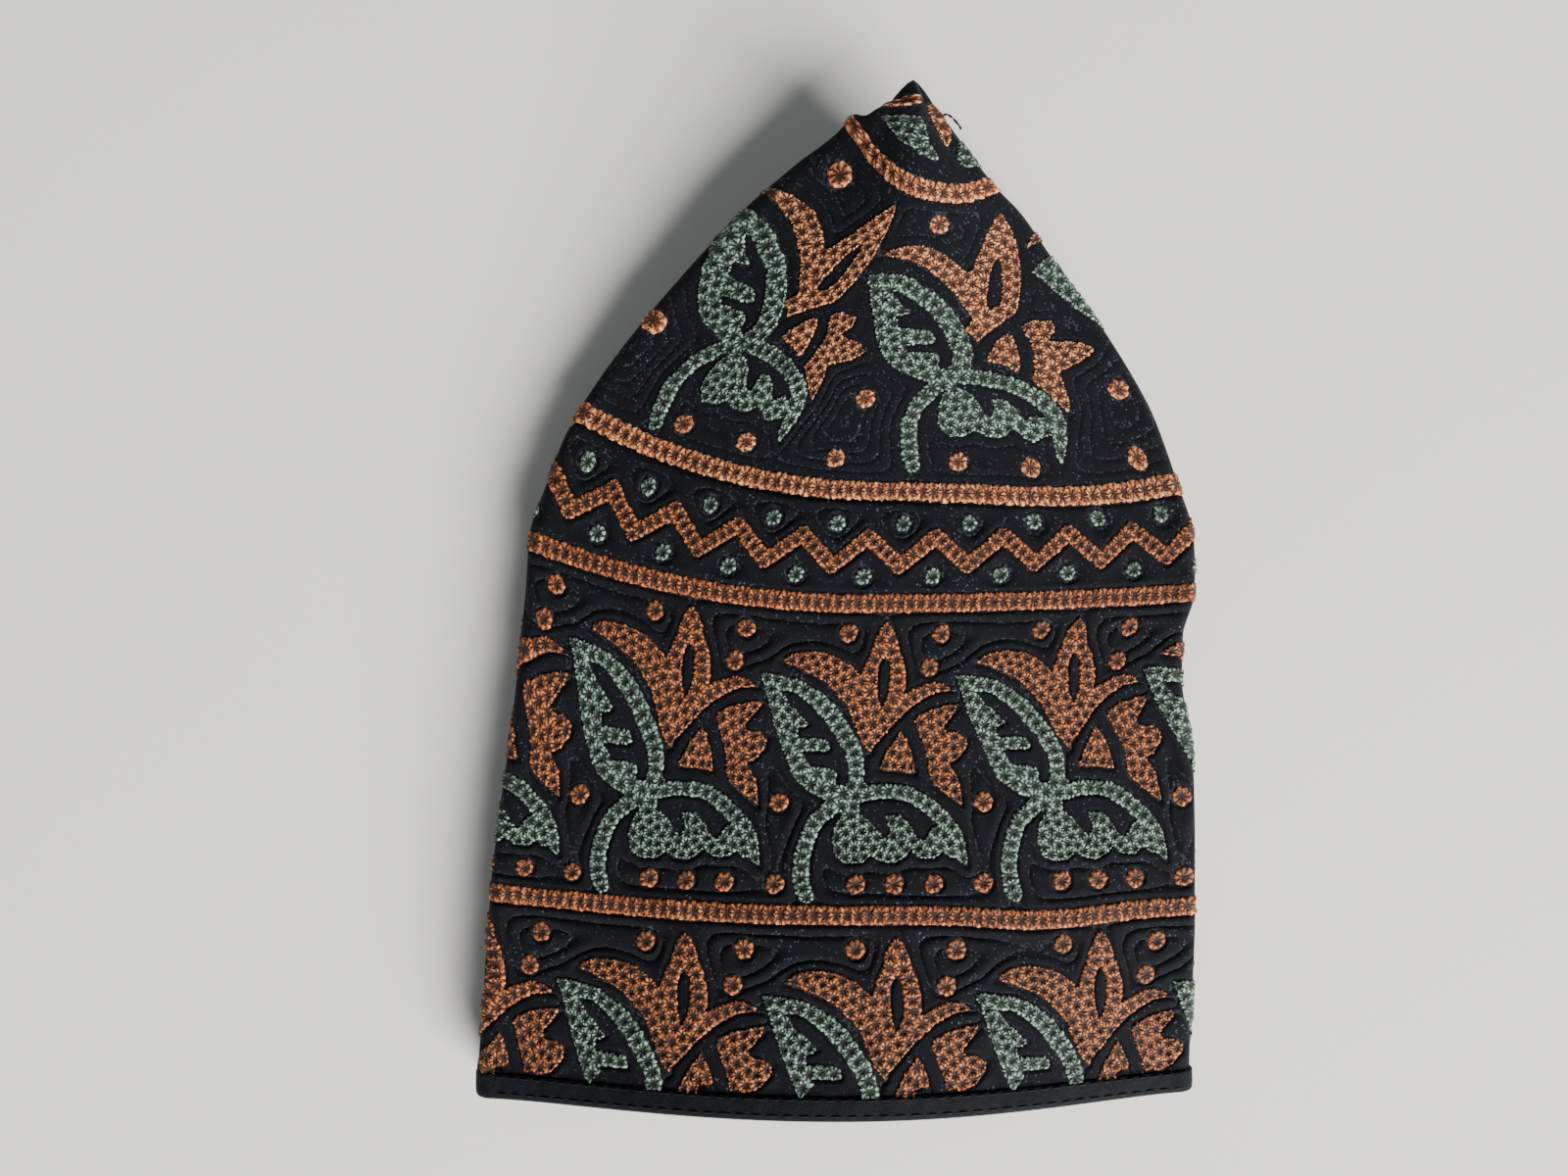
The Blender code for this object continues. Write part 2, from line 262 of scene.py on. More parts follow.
MAP_NORMALS = closed(map_normals(MAP_POINTS))
MAP_POINTS = closed(MAP_POINTS)
MAP_A = np.append(MAP_A, 4.0)


def read_grid(grid, row, column):
    """A grid's value at rows and columns that lie between its own, by bilinear interpolation."""
    row = np.clip(row, 0, grid.shape[0] - 1.001)
    column = np.clip(column, 0, grid.shape[1] - 1.001)
    i, j = row.astype(int), column.astype(int)
    s, t = row - i, column - j
    if grid.ndim == 3:
        s, t = s[..., None], t[..., None]
    return (grid[i, j] * (1 - s) * (1 - t) + grid[i, j + 1] * (1 - s) * t
            + grid[i + 1, j] * s * (1 - t) + grid[i + 1, j + 1] * s * t)


def place(a, v, lift):
    """Points over the cloth: the map's point at (a, v) plus lift along its normal.  a counts quarters round
    the cap, v and lift are in millimetres."""
    row = (v * MM - MAP_V[0]) / (MAP_V[1] - MAP_V[0])
    column = np.interp(np.mod(a, 4.0), MAP_A, np.arange(len(MAP_A)))
    rise = (np.asarray(lift) * MM)[..., None]
    return read_grid(MAP_POINTS, row, column) + read_grid(MAP_NORMALS, row, column) * rise


# The flower's chart, in millimetres from its node, x to the right and y towards the tip of the cap.
# A stroke is a smooth line of discs (x, y, half width).  A leaf or petal that is no stroke is an outline.
PETALS = (
    ((-14.7, 25.4, 0), (-11.6, 25.9, 1.3), (-7.8, 25.4, 2.2), (-3.9, 24.1, 2.7), (-0.8, 21.6, 2.9),
     (2.2, 17.9, 2.7), (3.0, 14.9, 2.2), (4.1, 11.2, 1.5), (4.9, 8.4, 0.2)),
    ((6.6, 33.2, 0.4), (6.0, 31.0, 1.3), (5.4, 28.0, 1.6), (4.3, 25.8, 1.5), (3.7, 22.4, 1.75),
     (4.0, 18.7, 1.8), (4.9, 15.7, 1.9), (5.2, 12.7, 1.5)),
    ((6.7, 33.2, 0.4), (7.3, 31.0, 1.3), (7.9, 28.0, 1.6), (9.1, 25.8, 1.5), (9.7, 21.6, 1.75),
     (9.3, 18.7, 1.7), (8.2, 16.0, 1.7), (6.7, 13.4, 1.6)),
    ((5.2, 10.8, 1.2), (7.5, 14.2, 1.8), (10.8, 17.2, 1.6), (14.6, 19.6, 1.45), (17.9, 20.7, 1.1),
     (21.5, 20.2, 0)),
)
TRIANGLE = ((10.8, 12.3), (9.6, 10.6), (8.4, 9.0), (7.4, 6.8), (6.6, 4.9), (8.3, 4.6), (10.1, 4.7),
            (12.1, 4.3), (14.0, 4.2), (13.5, 6.4), (12.9, 8.6), (11.9, 10.7))
LOBED_LEAF = ((22.6, 17.4), (20.2, 17.2), (16.4, 16.2), (14.0, 15.1), (13.4, 14.2), (14.4, 11.9),
              (15.7, 9.0), (16.4, 6.7), (16.6, 4.1), (17.5, 2.2), (19.8, 0.4), (22.0, -1.1), (23.7, -2.4),
              (23.3, 0.0), (22.8, 2.6), (21.3, 4.9), (20.5, 5.8), (22.4, 6.7), (24.1, 8.8), (24.3, 10.5),
              (22.8, 11.8), (20.5, 11.9), (19.4, 12.7), (20.9, 14.6), (22.0, 16.0))
UPPER_LEAF = (
    ((-18.7, 22.8, 0.2), (-15.3, 21.3, 1.5), (-11.6, 20.9, 1.3), (-7.8, 19.0, 1.5), (-4.5, 16.4, 1.7),
     (-1.9, 13.4, 1.7), (0.2, 10.5, 1.7), (1.7, 7.5, 1.7), (2.2, 4.5, 1.6), (2.1, 1.9, 1.7)),
    ((-18.7, 22.8, 0.2), (-16.8, 20.5, 0.9), (-14.7, 17.4, 1.8), (-13.0, 14.1, 2.2), (-11.8, 10.8, 1.9),
     (-10.5, 7.5, 1.7), (-8.4, 4.2, 1.9), (-5.6, 2.0, 1.8), (-2.2, 0.4, 1.8), (0, -0.2, 1.9)),
    ((-12.2, 14.9, 1.9), (-9.8, 13.8, 1.0), (-7.9, 13.5, 0)),
    ((-10.5, 9.7, 1.3), (-7.1, 9.6, 1.25), (-4.9, 9.5, 1.2), (-3.7, 8.8, 0.4)),
    ((-8.6, 3.7, 1.6), (-5.2, 3.7, 1.6), (-3.0, 3.5, 1.5)),
)
STEM = (
    ((0, -0.8, 1.7), (-3.0, -3.0, 1.6), (-5.6, -5.6, 1.6), (-6.9, -9.0, 1.65), (-7.5, -12.7, 1.65),
     (-7.4, -15.6, 1.65), (-6.7, -17.9, 1.6), (-6.1, -19.2, 1.3)),
    ((3.0, 0.8, 2.0), (2.2, 0.2, 2.0)),
    ((1.5, -0.2, 1.8), (4.5, 0.3, 1.5), (8.2, 0.7, 1.4), (11.9, 0.4, 1.45), (15.3, -1.1, 1.5),
     (18.3, -3.4, 1.5), (20.5, -5.6, 1.6), (22.2, -8.2, 1.6), (23.5, -11.2, 1.1), (25.0, -13.9, 0)),
    ((1.5, -1.0, 1.7), (1.6, -4.5, 1.8)),
    ((18.9, -7.4, 1.6), (20.5, -8.6, 1.8), (22.0, -10.5, 1.5)),
)
LOWER_LEAF = ((0.2, -3.2), (3.1, -3.3), (5.4, -5.0), (6.9, -6.7), (8.6, -8.4), (9.4, -7.0), (8.9, -5.2),
              (8.2, -3.9), (11.3, -3.8), (13.4, -5.9), (14.5, -7.9), (16.2, -8.7), (17.1, -7.0),
              (19.5, -5.8), (21.5, -8.0), (20.6, -9.8), (20.1, -10.8), (18.3, -12.1), (15.4, -12.0),
              (13.6, -10.5), (12.7, -11.7), (10.7, -12.9), (7.8, -12.6), (6.0, -11.4), (4.3, -12.9),
              (1.1, -13.0), (-1.0, -11.7), (-1.9, -9.1), (-1.6, -6.1))
# The crown's flower, charted the same way: it has no right petal, and its lobed leaf is three pointed.
CROWN_PETALS = (
    (-11.3, 25.2), (-9.4, 25.9), (-6.8, 26.1), (-4.1, 25.7), (-1.8, 24.8), (0.5, 23.2), (2.5, 21.4),
    (4.1, 19.9), (5.0, 20.5), (6.0, 22.4), (7.2, 24.9), (8.6, 28.0), (9.9, 30.8), (11.0, 32.4), (12.0, 31.0),
    (12.8, 29.2), (13.5, 27.0), (14.0, 24.4), (14.3, 21.5), (14.3, 18.5), (14.0, 15.5), (13.4, 12.8),
    (12.8, 11.6), (11.4, 10.8), (9.6, 9.3), (7.8, 8.0), (6.4, 6.9), (5.4, 6.1), (4.8, 7.4), (2.9, 8.6),
    (4.0, 9.6), (4.6, 10.4), (4.5, 11.5), (3.1, 13.2), (2.2, 15.2), (0.9, 16.9), (-0.8, 18.6), (-2.7, 20.6),
    (-4.7, 22.2), (-6.9, 23.5), (-9.1, 24.5))
CROWN_SLIT = ((10.2, 23.4), (9.3, 21.7), (8.5, 19.9), (8.2, 17.7), (7.7, 15.1), (7.6, 13.0), (8.4, 12.7),
              (9.8, 13.3), (10.6, 15.2), (10.8, 17.5), (10.8, 20.0), (10.8, 22.2))
CROWN_TRIANGLE = ((7.0, 2.4), (7.8, 4.2), (9.5, 6.4), (10.9, 7.7), (11.7, 7.9), (12.5, 7.0), (13.1, 5.0),
                  (13.5, 2.8), (13.5, 0.7), (12.8, 0.0), (11.3, 1.1), (9.2, 1.7))
CROWN_LOBED_LEAF = (
    (14.3, 9.1), (14.7, 10.1), (15.9, 10.7), (18.3, 10.8), (19.8, 10.9), (20.4, 9.9), (20.3, 8.6),
    (19.4, 7.5), (19.2, 6.7), (20.9, 6.7), (23.2, 7.0), (25.1, 6.9), (27.5, 6.2), (26.4, 4.6), (24.7, 3.1),
    (22.6, 1.8), (21.1, 0.9), (20.7, 0.2), (21.5, -1.0), (22.0, -3.0), (22.4, -4.9), (22.5, -6.6),
    (21.5, -6.1), (19.9, -4.9), (17.9, -3.1), (16.0, -1.6), (15.7, -1.0), (16.2, 0.8), (16.2, 3.3),
    (16.0, 5.5), (15.5, 6.9), (14.6, 7.8))
CROWN_LOWER_LEAF = (
    (-0.1, -2.2), (2.6, -3.1), (4.3, -4.6), (5.2, -6.3), (5.9, -7.6), (6.6, -8.4), (7.6, -8.3), (7.8, -6.7),
    (7.6, -5.0), (8.5, -4.8), (10.2, -5.3), (11.8, -6.6), (12.8, -8.1), (13.9, -9.1), (14.7, -8.2),
    (15.9, -7.6), (16.9, -8.3), (18.3, -7.5), (19.3, -9.1), (18.9, -11.1), (17.5, -11.8), (15.4, -12.9),
    (13.6, -12.4), (12.1, -11.1), (10.9, -11.0), (10.1, -11.9), (8.3, -12.5), (6.2, -12.2), (4.5, -11.3),
    (3.7, -11.0), (2.7, -11.8), (1.0, -12.2), (-1.1, -11.9), (-2.4, -10.5), (-3.1, -8.8), (-2.9, -6.5),
    (-2.2, -4.5), (-1.2, -3.1))
CROWN_LEAF = (
    ((-14.0, 21.6, 0.3), (-12.0, 20.5, 1.4), (-9.4, 19.7, 1.6), (-7.2, 18.5, 1.7), (-5.0, 16.5, 1.6),
     (-2.7, 14.6, 1.7), (-0.9, 12.2, 1.8), (0.7, 9.6, 1.9), (2.0, 6.6, 2.0), (2.5, 3.7, 2.0),
     (2.2, 1.2, 1.8)),
    ((-13.9, 21.5, 0.3), (-12.1, 19.1, 1.8), (-11.8, 16.2, 2.1), (-11.5, 13.3, 2.0), (-11.4, 10.4, 2.1),
     (-10.7, 7.3, 2.1), (-9.3, 4.5, 1.9), (-7.0, 2.8, 2.0), (-4.4, 1.2, 1.9), (-2.1, -0.2, 1.7)),
    ((-10.7, 15.6, 1.7), (-9.0, 14.0, 1.0), (-7.5, 13.5, 0.5), (-6.8, 13.0, 0.1)),
    ((-9.8, 9.0, 1.8), (-7.1, 8.4, 1.6), (-4.7, 8.1, 1.5), (-2.7, 7.0, 0.3)),
    ((-8.0, 3.9, 1.6), (-5.3, 3.5, 1.6), (-3.4, 3.2, 1.5)),
    ((2.3, 1.9, 1.9), (0.7, -0.1, 1.8), (-0.7, -1.4, 1.6)),
    ((-2.5, -1.9, 1.6), (-4.3, -3.1, 1.6), (-6.5, -5.0, 1.6), (-7.9, -7.2, 1.6), (-8.7, -9.6, 1.7),
     (-8.8, -12.1, 1.7), (-8.8, -14.7, 1.6), (-8.5, -16.9, 1.4)),
    ((2.8, -0.6, 1.5), (5.6, -0.9, 1.5), (8.3, -1.5, 1.5), (11.1, -2.2, 1.5), (13.8, -3.3, 1.5),
     (16.4, -4.6, 1.6), (18.6, -6.4, 1.7), (19.8, -8.7, 1.8), (20.3, -11.2, 1.6), (20.4, -13.7, 1.1),
     (20.9, -16.1, 0.1)),
)
# Places on the cap are (a, v): a counts quarters round it and v millimetres down from the tip.  The band's
# flowers stand a step apart from the first one's node, and the lower row is the same, moved by LOWER_SHIFT.
BAND_FLOWERS = 14
FLOWER_STEP = 0.285714
BAND_NODE = (0.2073, 138.5)
LOWER_SHIFT = (0.032, 60.2)
BAND_QUARTER = 142.0
# The crown's flowers: their nodes round the tip, and how every other one is pushed together, leans and moves.
CROWN_NODES = (0.18, 0.634, 1.114, 1.53, 1.98, 2.41, 2.86, 3.30, 3.73)
CROWN_NODE_V = 56.5
SQUEEZE = 0.82
LEAN = 0.27
LEAN_RISE = 0.7
# Stripes: the spacing of their eyelets, then each one's length round the cap, distance from the tip, half
# width, and its dip's depth, place and spread.
STRIPE_PITCH = 2.12
BAND_STRIPES = ((565.0, 101.2, 1.85, 0.0, 0.5, 1.0), (572.0, 161.0, 1.8, 1.6, 0.78, 0.11))
CROWN_STRIPES = ((500.0, 78.7, 1.9, 2.4, 0.86, 0.22), (130.0, 18.3, 1.95, 3.2, 0.72, 0.32))
# The zigzag: the distances of its upper and lower corners from the tip and its half width, how many turns it
# has round the cap, a turn in quarters and in the chart, and a quarter's length there.
ZIGZAG = (88.0, 93.8, 1.55)
ZIGZAG_TURNS = 40
ZIGZAG_TURN = 0.1
ZIGZAG_STEP = 13.95
ZIGZAG_QUARTER = 139.5
TAPE_TOP = 193.4
# Single eyelets: their radii, and their places from a flower's node, on the crown and beside the zigzag.
DOT = 1.85
GREEN_DOT = 1.6
GREEN_ROWS = (85.5, 95.9)
LOWEST_DOT = 190.0
FLOWER_DOTS = ((-0.008, -31.5), (0.128, -31.2), (0.114, -24.6), (-0.09, 1.5), (0.023, 16.8),
               (0.075, 16.8), (0.129, 16.8), (0.198, 16.8))
CROWN_FRONT_DOTS = (
    (0.123, 24.9), (0.62, 27.3), (0.023, 60.5), (0.461, 60.7), (0.162, 72.9), (0.272, 72.5),
    (0.429, 72.7), (0.637, 73.5), (0.758, 75.4), (0.941, 75.9), (0.955, 65.1))
CROWN_BACK_DOTS = ((-0.035, 26.0), (-0.16, 61.0), (-0.01, 73.2), (0.108, 74.0))

# Steps of a chart's grid and of a stroke's discs, in millimetres.
CHART_STEP = 0.2
DISC_STEP = 0.4
# Eyelets in millimetres: their spacing along a stroke, the thinnest stroke that takes them, the least and
# the most between two of them, the rounds of settling, and how far each round goes.
PITCH = 2.1
THINNEST = 0.75
NEAREST = 1.5
WIDEST = 1.62
ROUNDS = 12
SETTLE = 0.75
# Each eyelet's rays, the longest that a ray may be, and a distance that is beyond everything.
RAYS = 20
LONGEST = 3.0
FAR = 99.0
RAY_ANGLE = 2 * np.pi * np.arange(RAYS) / RAYS
RAY = np.stack([np.cos(RAY_ANGLE), np.sin(RAY_ANGLE)], 1)
# An eyelet as a crater: its hole and the most of a ray that the hole takes, how far threads lap a neighbour's
# or stray over the cloth, the shares of a ray at which its middle ring and its crest lie, on a shared wall
# and at an outline, and the lifts of its centre, its hole, its middle ring, its crest, its wall and its foot.
HOLE = 0.34
HOLE_SPREAD = 0.22
HOLE_MOST = 0.45
LAP = 1.03
STRAY = 0.42
UNEVEN = 0.12
MIDDLE_RING = (0.55, 0.52)
CREST_RING = (0.85, 0.84)
CENTRE_LIFT = 0.03
HOLE_LIFT = 0.07
MIDDLE_LIFT = 0.27
CREST_LIFT = (0.40, 0.34)
WALL_LIFT = 0.44
FOOT_LIFT = -0.10
# How far past a fold eyelets still lie, in quarters of the cap, and where they end at the tape.
PAST_FOLD = 0.05
LAST_EYELET = TAPE_TOP - 0.4
UNDER_TAPE = TAPE_TOP + 0.6


def length_along(line):
    """Length along a line of points, from its start to each of them."""
    return np.append(0.0, np.cumsum(np.hypot(*np.diff(line[:, :2], axis=0).T)))


def apart(spots, seeds):
    """Distance of every spot to every seed."""
    return np.linalg.norm(spots[:, None] - seeds, axis=2)


def smooth_line(points):
    """A stroke's discs: cubic curves of x, y and half width over the length along its points."""
    points = np.array(points, float)
    along = length_along(points)
    at = np.linspace(0.0, along[-1], max(2, int(along[-1] / DISC_STEP) + 1))
    return np.stack([through(along, points[:, k], at) for k in range(3)], 1)


def disc_field(spots, discs):
    """Distance to a union of discs: the least distance to a centre less its radius."""
    field = np.full(len(spots), FAR)
    for part in np.array_split(discs, len(discs) // 40 + 1):
        gap = np.hypot(spots[:, None, 0] - part[:, 0], spots[:, None, 1] - part[:, 1]) - part[:, 2]
        field = np.minimum(field, gap.min(1))
    return field


def outline_field(spots, corners):
    """Distance to a closed outline's nearest edge, negative inside by the count of edges to the right."""
    start = np.array(corners, float)
    edge = np.roll(start, -1, 0) - start
    away = spots[:, None] - start
    share = np.clip((away * edge).sum(2) / (edge ** 2).sum(1), 0, 1)
    gap = np.linalg.norm(away - share[..., None] * edge, axis=2).min(1)
    above = start[:, 1] > spots[:, None, 1]
    spans = above != np.roll(above, -1, 1)
    rise = np.where(edge[:, 1] == 0, 1e-9, edge[:, 1])
    reach = start[:, 0] + (spots[:, None, 1] - start[:, 1]) * edge[:, 0] / rise
    inside = (spans & (spots[:, None, 0] < reach)).sum(1) % 2 == 1
    return np.where(inside, -gap, gap)


class Chart:
    """One colour of a motif: its strokes and outlines, a grid of distances to them, and its eyelets."""

    def __init__(self, low, high, strokes=(), outlines=(), slits=()):
        self.low = low
        self.lines = [smooth_line(stroke) for stroke in strokes]
        x, y = [np.arange(low[k], high[k] + CHART_STEP, CHART_STEP) for k in (0, 1)]
        self.spots = np.stack(np.meshgrid(x, y), 2).reshape(-1, 2)
        self.flat = np.full(len(self.spots), FAR)
        if self.lines:
            self.flat = disc_field(self.spots, np.concatenate(self.lines))
        for outline in outlines:
            self.flat = np.minimum(self.flat, outline_field(self.spots, outline))
        for slit in slits:
            self.flat = np.maximum(self.flat, -outline_field(self.spots, slit))
        self.values = self.flat.reshape(len(y), len(x))

    def distance(self, x, y):
        """The grid's distance at points by bilinear interpolation, plus the way back to it outside."""
        column = (x - self.low[0]) / CHART_STEP
        row = (y - self.low[1]) / CHART_STEP
        past = np.hypot(column - np.clip(column, 0, self.values.shape[1] - 1.001),
                        row - np.clip(row, 0, self.values.shape[0] - 1.001))
        return read_grid(self.values, row, column) + CHART_STEP * past

    def eyelets(self):
        """Eyelet centres: one every PITCH along each stroke, then the inner spot furthest from all others
        till none is WIDEST away, then ROUNDS of moving each one towards the middle of its own cell."""
        seeds = []
        for line in self.lines:
            along = length_along(line)
            at = np.arange(PITCH / 2, along[-1], PITCH)
            for spot in np.stack([np.interp(at, along, line[:, k]) for k in range(3)], 1):
                clear = all(np.hypot(*(spot[:2] - seed)) > NEAREST for seed in seeds)
                if spot[2] > THINNEST and clear:
                    seeds.append(spot[:2])
        inner = self.spots[self.flat < max(-0.6, 0.5 * self.flat.min())]
        seeds = np.array(seeds) if seeds else inner[:1]
        near = apart(inner, seeds).min(1)
        while near.max() >= WIDEST:
            seeds = np.vstack([seeds, inner[near.argmax()]])
            near = apart(inner, seeds).min(1)
        body = self.spots[self.flat < 0]
        smallest = 1.2 / CHART_STEP ** 2
        for _ in range(ROUNDS):
            owner = apart(body, seeds).argmin(1)
            count = np.bincount(owner, minlength=len(seeds))
            total = np.stack([np.bincount(owner, body[:, k], len(seeds)) for k in (0, 1)], 1)
            middle = total / np.maximum(count, 1)[:, None]
            kept = count > smallest
            seeds = (SETTLE * middle + (1 - SETTLE) * seeds)[kept]
        return seeds


def star_cells(seeds, distance):
    """Reach of each eyelet's rays: to the line half way to a neighbour, seed.seed / 2 seed.ray, or to where
    the distance turns positive, whichever comes first, and whether a neighbour came first."""
    other = seeds[None] - seeds[:, None]
    toward = other @ RAY.T
    halfway = (other ** 2).sum(2)[..., None] / 2
    wall = np.where(toward > 1e-6, halfway / np.maximum(toward, 1e-6), FAR).min(1)
    steps = np.linspace(0.0, LONGEST, 41)
    spots = seeds[:, None, None] + RAY[:, None] * steps[:, None]
    value = distance(spots[..., 0], spots[..., 1])
    first = np.maximum((value > 0).argmax(2), 1)
    there = np.take_along_axis(value, first[..., None], 2)[..., 0]
    before = np.take_along_axis(value, first[..., None] - 1, 2)[..., 0]
    share = np.clip(-before / np.maximum(there - before, 1e-9), 0, 1)
    edge = np.where((value > 0).any(2), steps[first - 1] + share * (steps[1] - steps[0]), FAR)
    return np.minimum(np.minimum(wall, edge), LONGEST), wall < edge


def eyelet_mesh(seeds, reach, shared, dice):
    """Eyelets as low craters: a dark centre, the hole's edge, two rings up the threads and the last on the
    wall shared with a neighbour, or down in the cloth at the outline.  Returns their points (x, y, lift),
    the cells (share of reach, dice, ray dice) and the threads' own (x, y)."""
    count = len(seeds)
    wild = dice.random(reach.shape)
    ragged = np.where(shared, reach * LAP, reach + STRAY * (wild - 0.45))
    hole = np.minimum(HOLE + HOLE_SPREAD * dice.random(reach.shape), HOLE_MOST * reach)
    tall = UNEVEN * (dice.random(reach.shape) - 0.5)
    chance = dice.random(count)
    radius = np.stack([hole, np.where(shared, *MIDDLE_RING) * ragged,
                       np.where(shared, *CREST_RING) * ragged, ragged], 1)
    lift = np.stack([HOLE_LIFT + 0 * hole, MIDDLE_LIFT + tall, np.where(shared, *CREST_LIFT) + tall,
                     np.where(shared, WALL_LIFT + tall, FOOT_LIFT)], 1)
    local = radius[..., None] * RAY
    points = np.concatenate([seeds[:, None, None] + local, lift[..., None]], 3)
    share = radius / np.maximum(reach[:, None], 1e-6)
    luck = np.broadcast_to(chance[:, None, None], radius.shape)
    cell = np.stack([share, luck, np.broadcast_to(wild[:, None], radius.shape)], 3)

    def with_centre(centre, rings_of_it):
        return np.concatenate([centre[:, None], rings_of_it.reshape(count, -1, centre.shape[1])], 1)

    return (with_centre(np.column_stack([seeds, np.full(count, CENTRE_LIFT)]), points),
            with_centre(np.column_stack([0 * chance, chance, np.full(count, 0.5)]), cell),
            with_centre(np.zeros((count, 2)), local))


def eyelet_faces():
    """Triangles of one eyelet: a fan at the centre and two for each step between its rings."""
    k = np.arange(RAYS)
    n = np.roll(k, -1)
    faces = [np.stack([0 * k, 1 + k, 1 + n], 1)]
    for ring in range(3):
        a, b = 1 + ring * RAYS, 1 + (ring + 1) * RAYS
        faces.append(np.stack([a + k, b + k, b + n], 1))
        faces.append(np.stack([a + k, b + n, a + n], 1))
    return np.concatenate(faces)


class Embroidery:
    """Eyelets of one thread colour gathered from many places, and made one mesh."""

    def __init__(self, seed):
        self.points, self.cells, self.local = [], [], []
        self.dice = np.random.default_rng(seed)

    def add(self, seeds, distance, to_cloth, keep=None):
        """Works out the eyelets at seeds and lays them on the cloth with to_cloth, which turns their x and y
        into places on the cap.  Only those on the front and the back, above the tape, are made."""
        reach, shared = star_cells(seeds, distance)
        if keep is not None:
            seeds, reach, shared = seeds[keep], reach[keep], shared[keep]
        points, cell, local = eyelet_mesh(seeds, reach, shared, self.dice)
        a, v = to_cloth(points[..., 0], points[..., 1])
        middle = np.mod(a[:, 0] + 0.5, 4.0) - 0.5
        front = (middle > -PAST_FOLD) & (middle < 1 + PAST_FOLD)
        back = (middle > 2 - PAST_FOLD) & (middle < 3 + PAST_FOLD)
        seen = (front | back) & (v[:, 0] < LAST_EYELET)
        self.points.append(place(a[seen], np.minimum(v[seen], UNDER_TAPE), points[seen][..., 2]))
        self.cells.append(cell[seen])
        self.local.append(local[seen])

    def made(self, name):
        """The mesh object, with the attributes cell and thread for its material."""
        points = np.concatenate(self.points)
        count, each = points.shape[:2]
        faces = eyelet_faces()[None] + (np.arange(count) * each)[:, None, None]
        made = mesh_object(name, points.reshape(-1, 3), faces[..., ::-1].reshape(-1, 3))
        local = np.concatenate(self.local).reshape(-1, 2)
        set_attribute(made, "cell", np.concatenate(self.cells).reshape(-1, 3))
        set_attribute(made, "thread", np.column_stack([local, 0 * local[:, 0]]))
        return made


def mesh_object(name, points, faces, smooth=True):
    """A mesh of whole arrays: points by three, and faces by their corner count."""
    mesh = bpy.data.meshes.new(name)
    corners = faces.shape[1]
    mesh.vertices.add(len(points))
    mesh.vertices.foreach_set("co", np.asarray(points, np.float32).ravel())
    mesh.loops.add(faces.size)
    mesh.loops.foreach_set("vertex_index", faces.astype(np.int32).ravel())
    mesh.polygons.add(len(faces))
    mesh.polygons.foreach_set("loop_start", np.arange(0, faces.size, corners, dtype=np.int32))
    mesh.polygons.foreach_set("use_smooth", np.full(len(faces), smooth))
    mesh.update(calc_edges=True)
    made = bpy.data.objects.new(name, mesh)
    bpy.context.scene.collection.objects.link(made)
    return made


def set_attribute(made, name, values):
    """Stores one number or one vector at each point of a mesh."""
    vector = values.ndim == 2
    kind = "FLOAT_VECTOR" if vector else "FLOAT"
    attribute = made.data.attributes.new(name, kind, "POINT")
    attribute.data.foreach_set("vector" if vector else "value", np.asarray(values, np.float32).ravel())


def weld(made):
    """Merges points that lie on one spot, as a pole's do, so that the skin closes there."""
    skin = bmesh.new()
    skin.from_mesh(made.data)
    bmesh.ops.remove_doubles(skin, verts=skin.verts, dist=1e-7)
    skin.to_mesh(made.data)
    skin.free()


def grid_faces(rows, columns, loop_rows=False):
    """Quads of a grid whose rows close on themselves, and whose last row meets the first where asked."""
    i, j = np.meshgrid(np.arange(rows if loop_rows else rows - 1), np.arange(columns), indexing="ij")
    below, beside = (i + 1) % rows, (j + 1) % columns
    quads = np.stack([i * columns + j, below * columns + j,
                      below * columns + beside, i * columns + beside], 2)
    return quads.reshape(-1, 4)


# The flowers of the band and of the crown, each in its two thread colours.
FLOWER_BOX = ((-27.0, -30.0), (34.0, 42.0))
flower_copper = Chart(*FLOWER_BOX, PETALS, (TRIANGLE, LOBED_LEAF))
flower_green = Chart(*FLOWER_BOX, UPPER_LEAF + STEM, (LOWER_LEAF,))
crown_copper = Chart(*FLOWER_BOX, (), (CROWN_PETALS, CROWN_TRIANGLE, CROWN_LOBED_LEAF), (CROWN_SLIT,))
crown_green = Chart(*FLOWER_BOX, CROWN_LEAF, (CROWN_LOWER_LEAF,))
zigzag_corners = [(ZIGZAG_STEP * k / 2, -ZIGZAG[k % 2], ZIGZAG[2]) for k in range(-4, 5)]
zigzag_chart = Chart((-24.0, -106.0), (24.0, -76.0),
                     [(start, end) for start, end in zip(zigzag_corners, zigzag_corners[1:])])


def flat_disc(x, y, a0, v0):
    """From a crown motif's own x and y to places on the cap: the crown is nearly a flat disc about the tip,
    so v is the distance from the tip, and a the angle in quarter turns."""
    out = v0 - y
    return a0 + np.arctan2(x, out) / (np.pi / 2), np.hypot(out, x)


def crown_flower(x, y, k):
    """The same for flower k of the crown.  Every other one is pushed together round the tip and leans: its
    turn from the node is SQUEEZE of the chart's, and v loses LEAN of itself a quarter turn."""
    turn, v = flat_disc(x, y, 0.0, CROWN_NODE_V)
    if k % 2:
        return CROWN_NODES[k] + turn, v
    return CROWN_NODES[k] + SQUEEZE * turn, v * (1 - LEAN * turn) - LEAN_RISE


def from_crown(a, v, k):
    """The other way: from places on the cap to the own x and y of the crown's flower k."""
    turn = np.mod(a - CROWN_NODES[k] + 2.0, 4.0) - 2.0
    if k % 2 == 0:
        turn = turn / SQUEEZE
        v = (v + LEAN_RISE) / (1 - LEAN * np.clip(turn, -1.0, 1.0))
    angle = np.clip(turn, -2.0, 2.0) * np.pi / 2
    return v * np.sin(angle), CROWN_NODE_V - v * np.cos(angle)


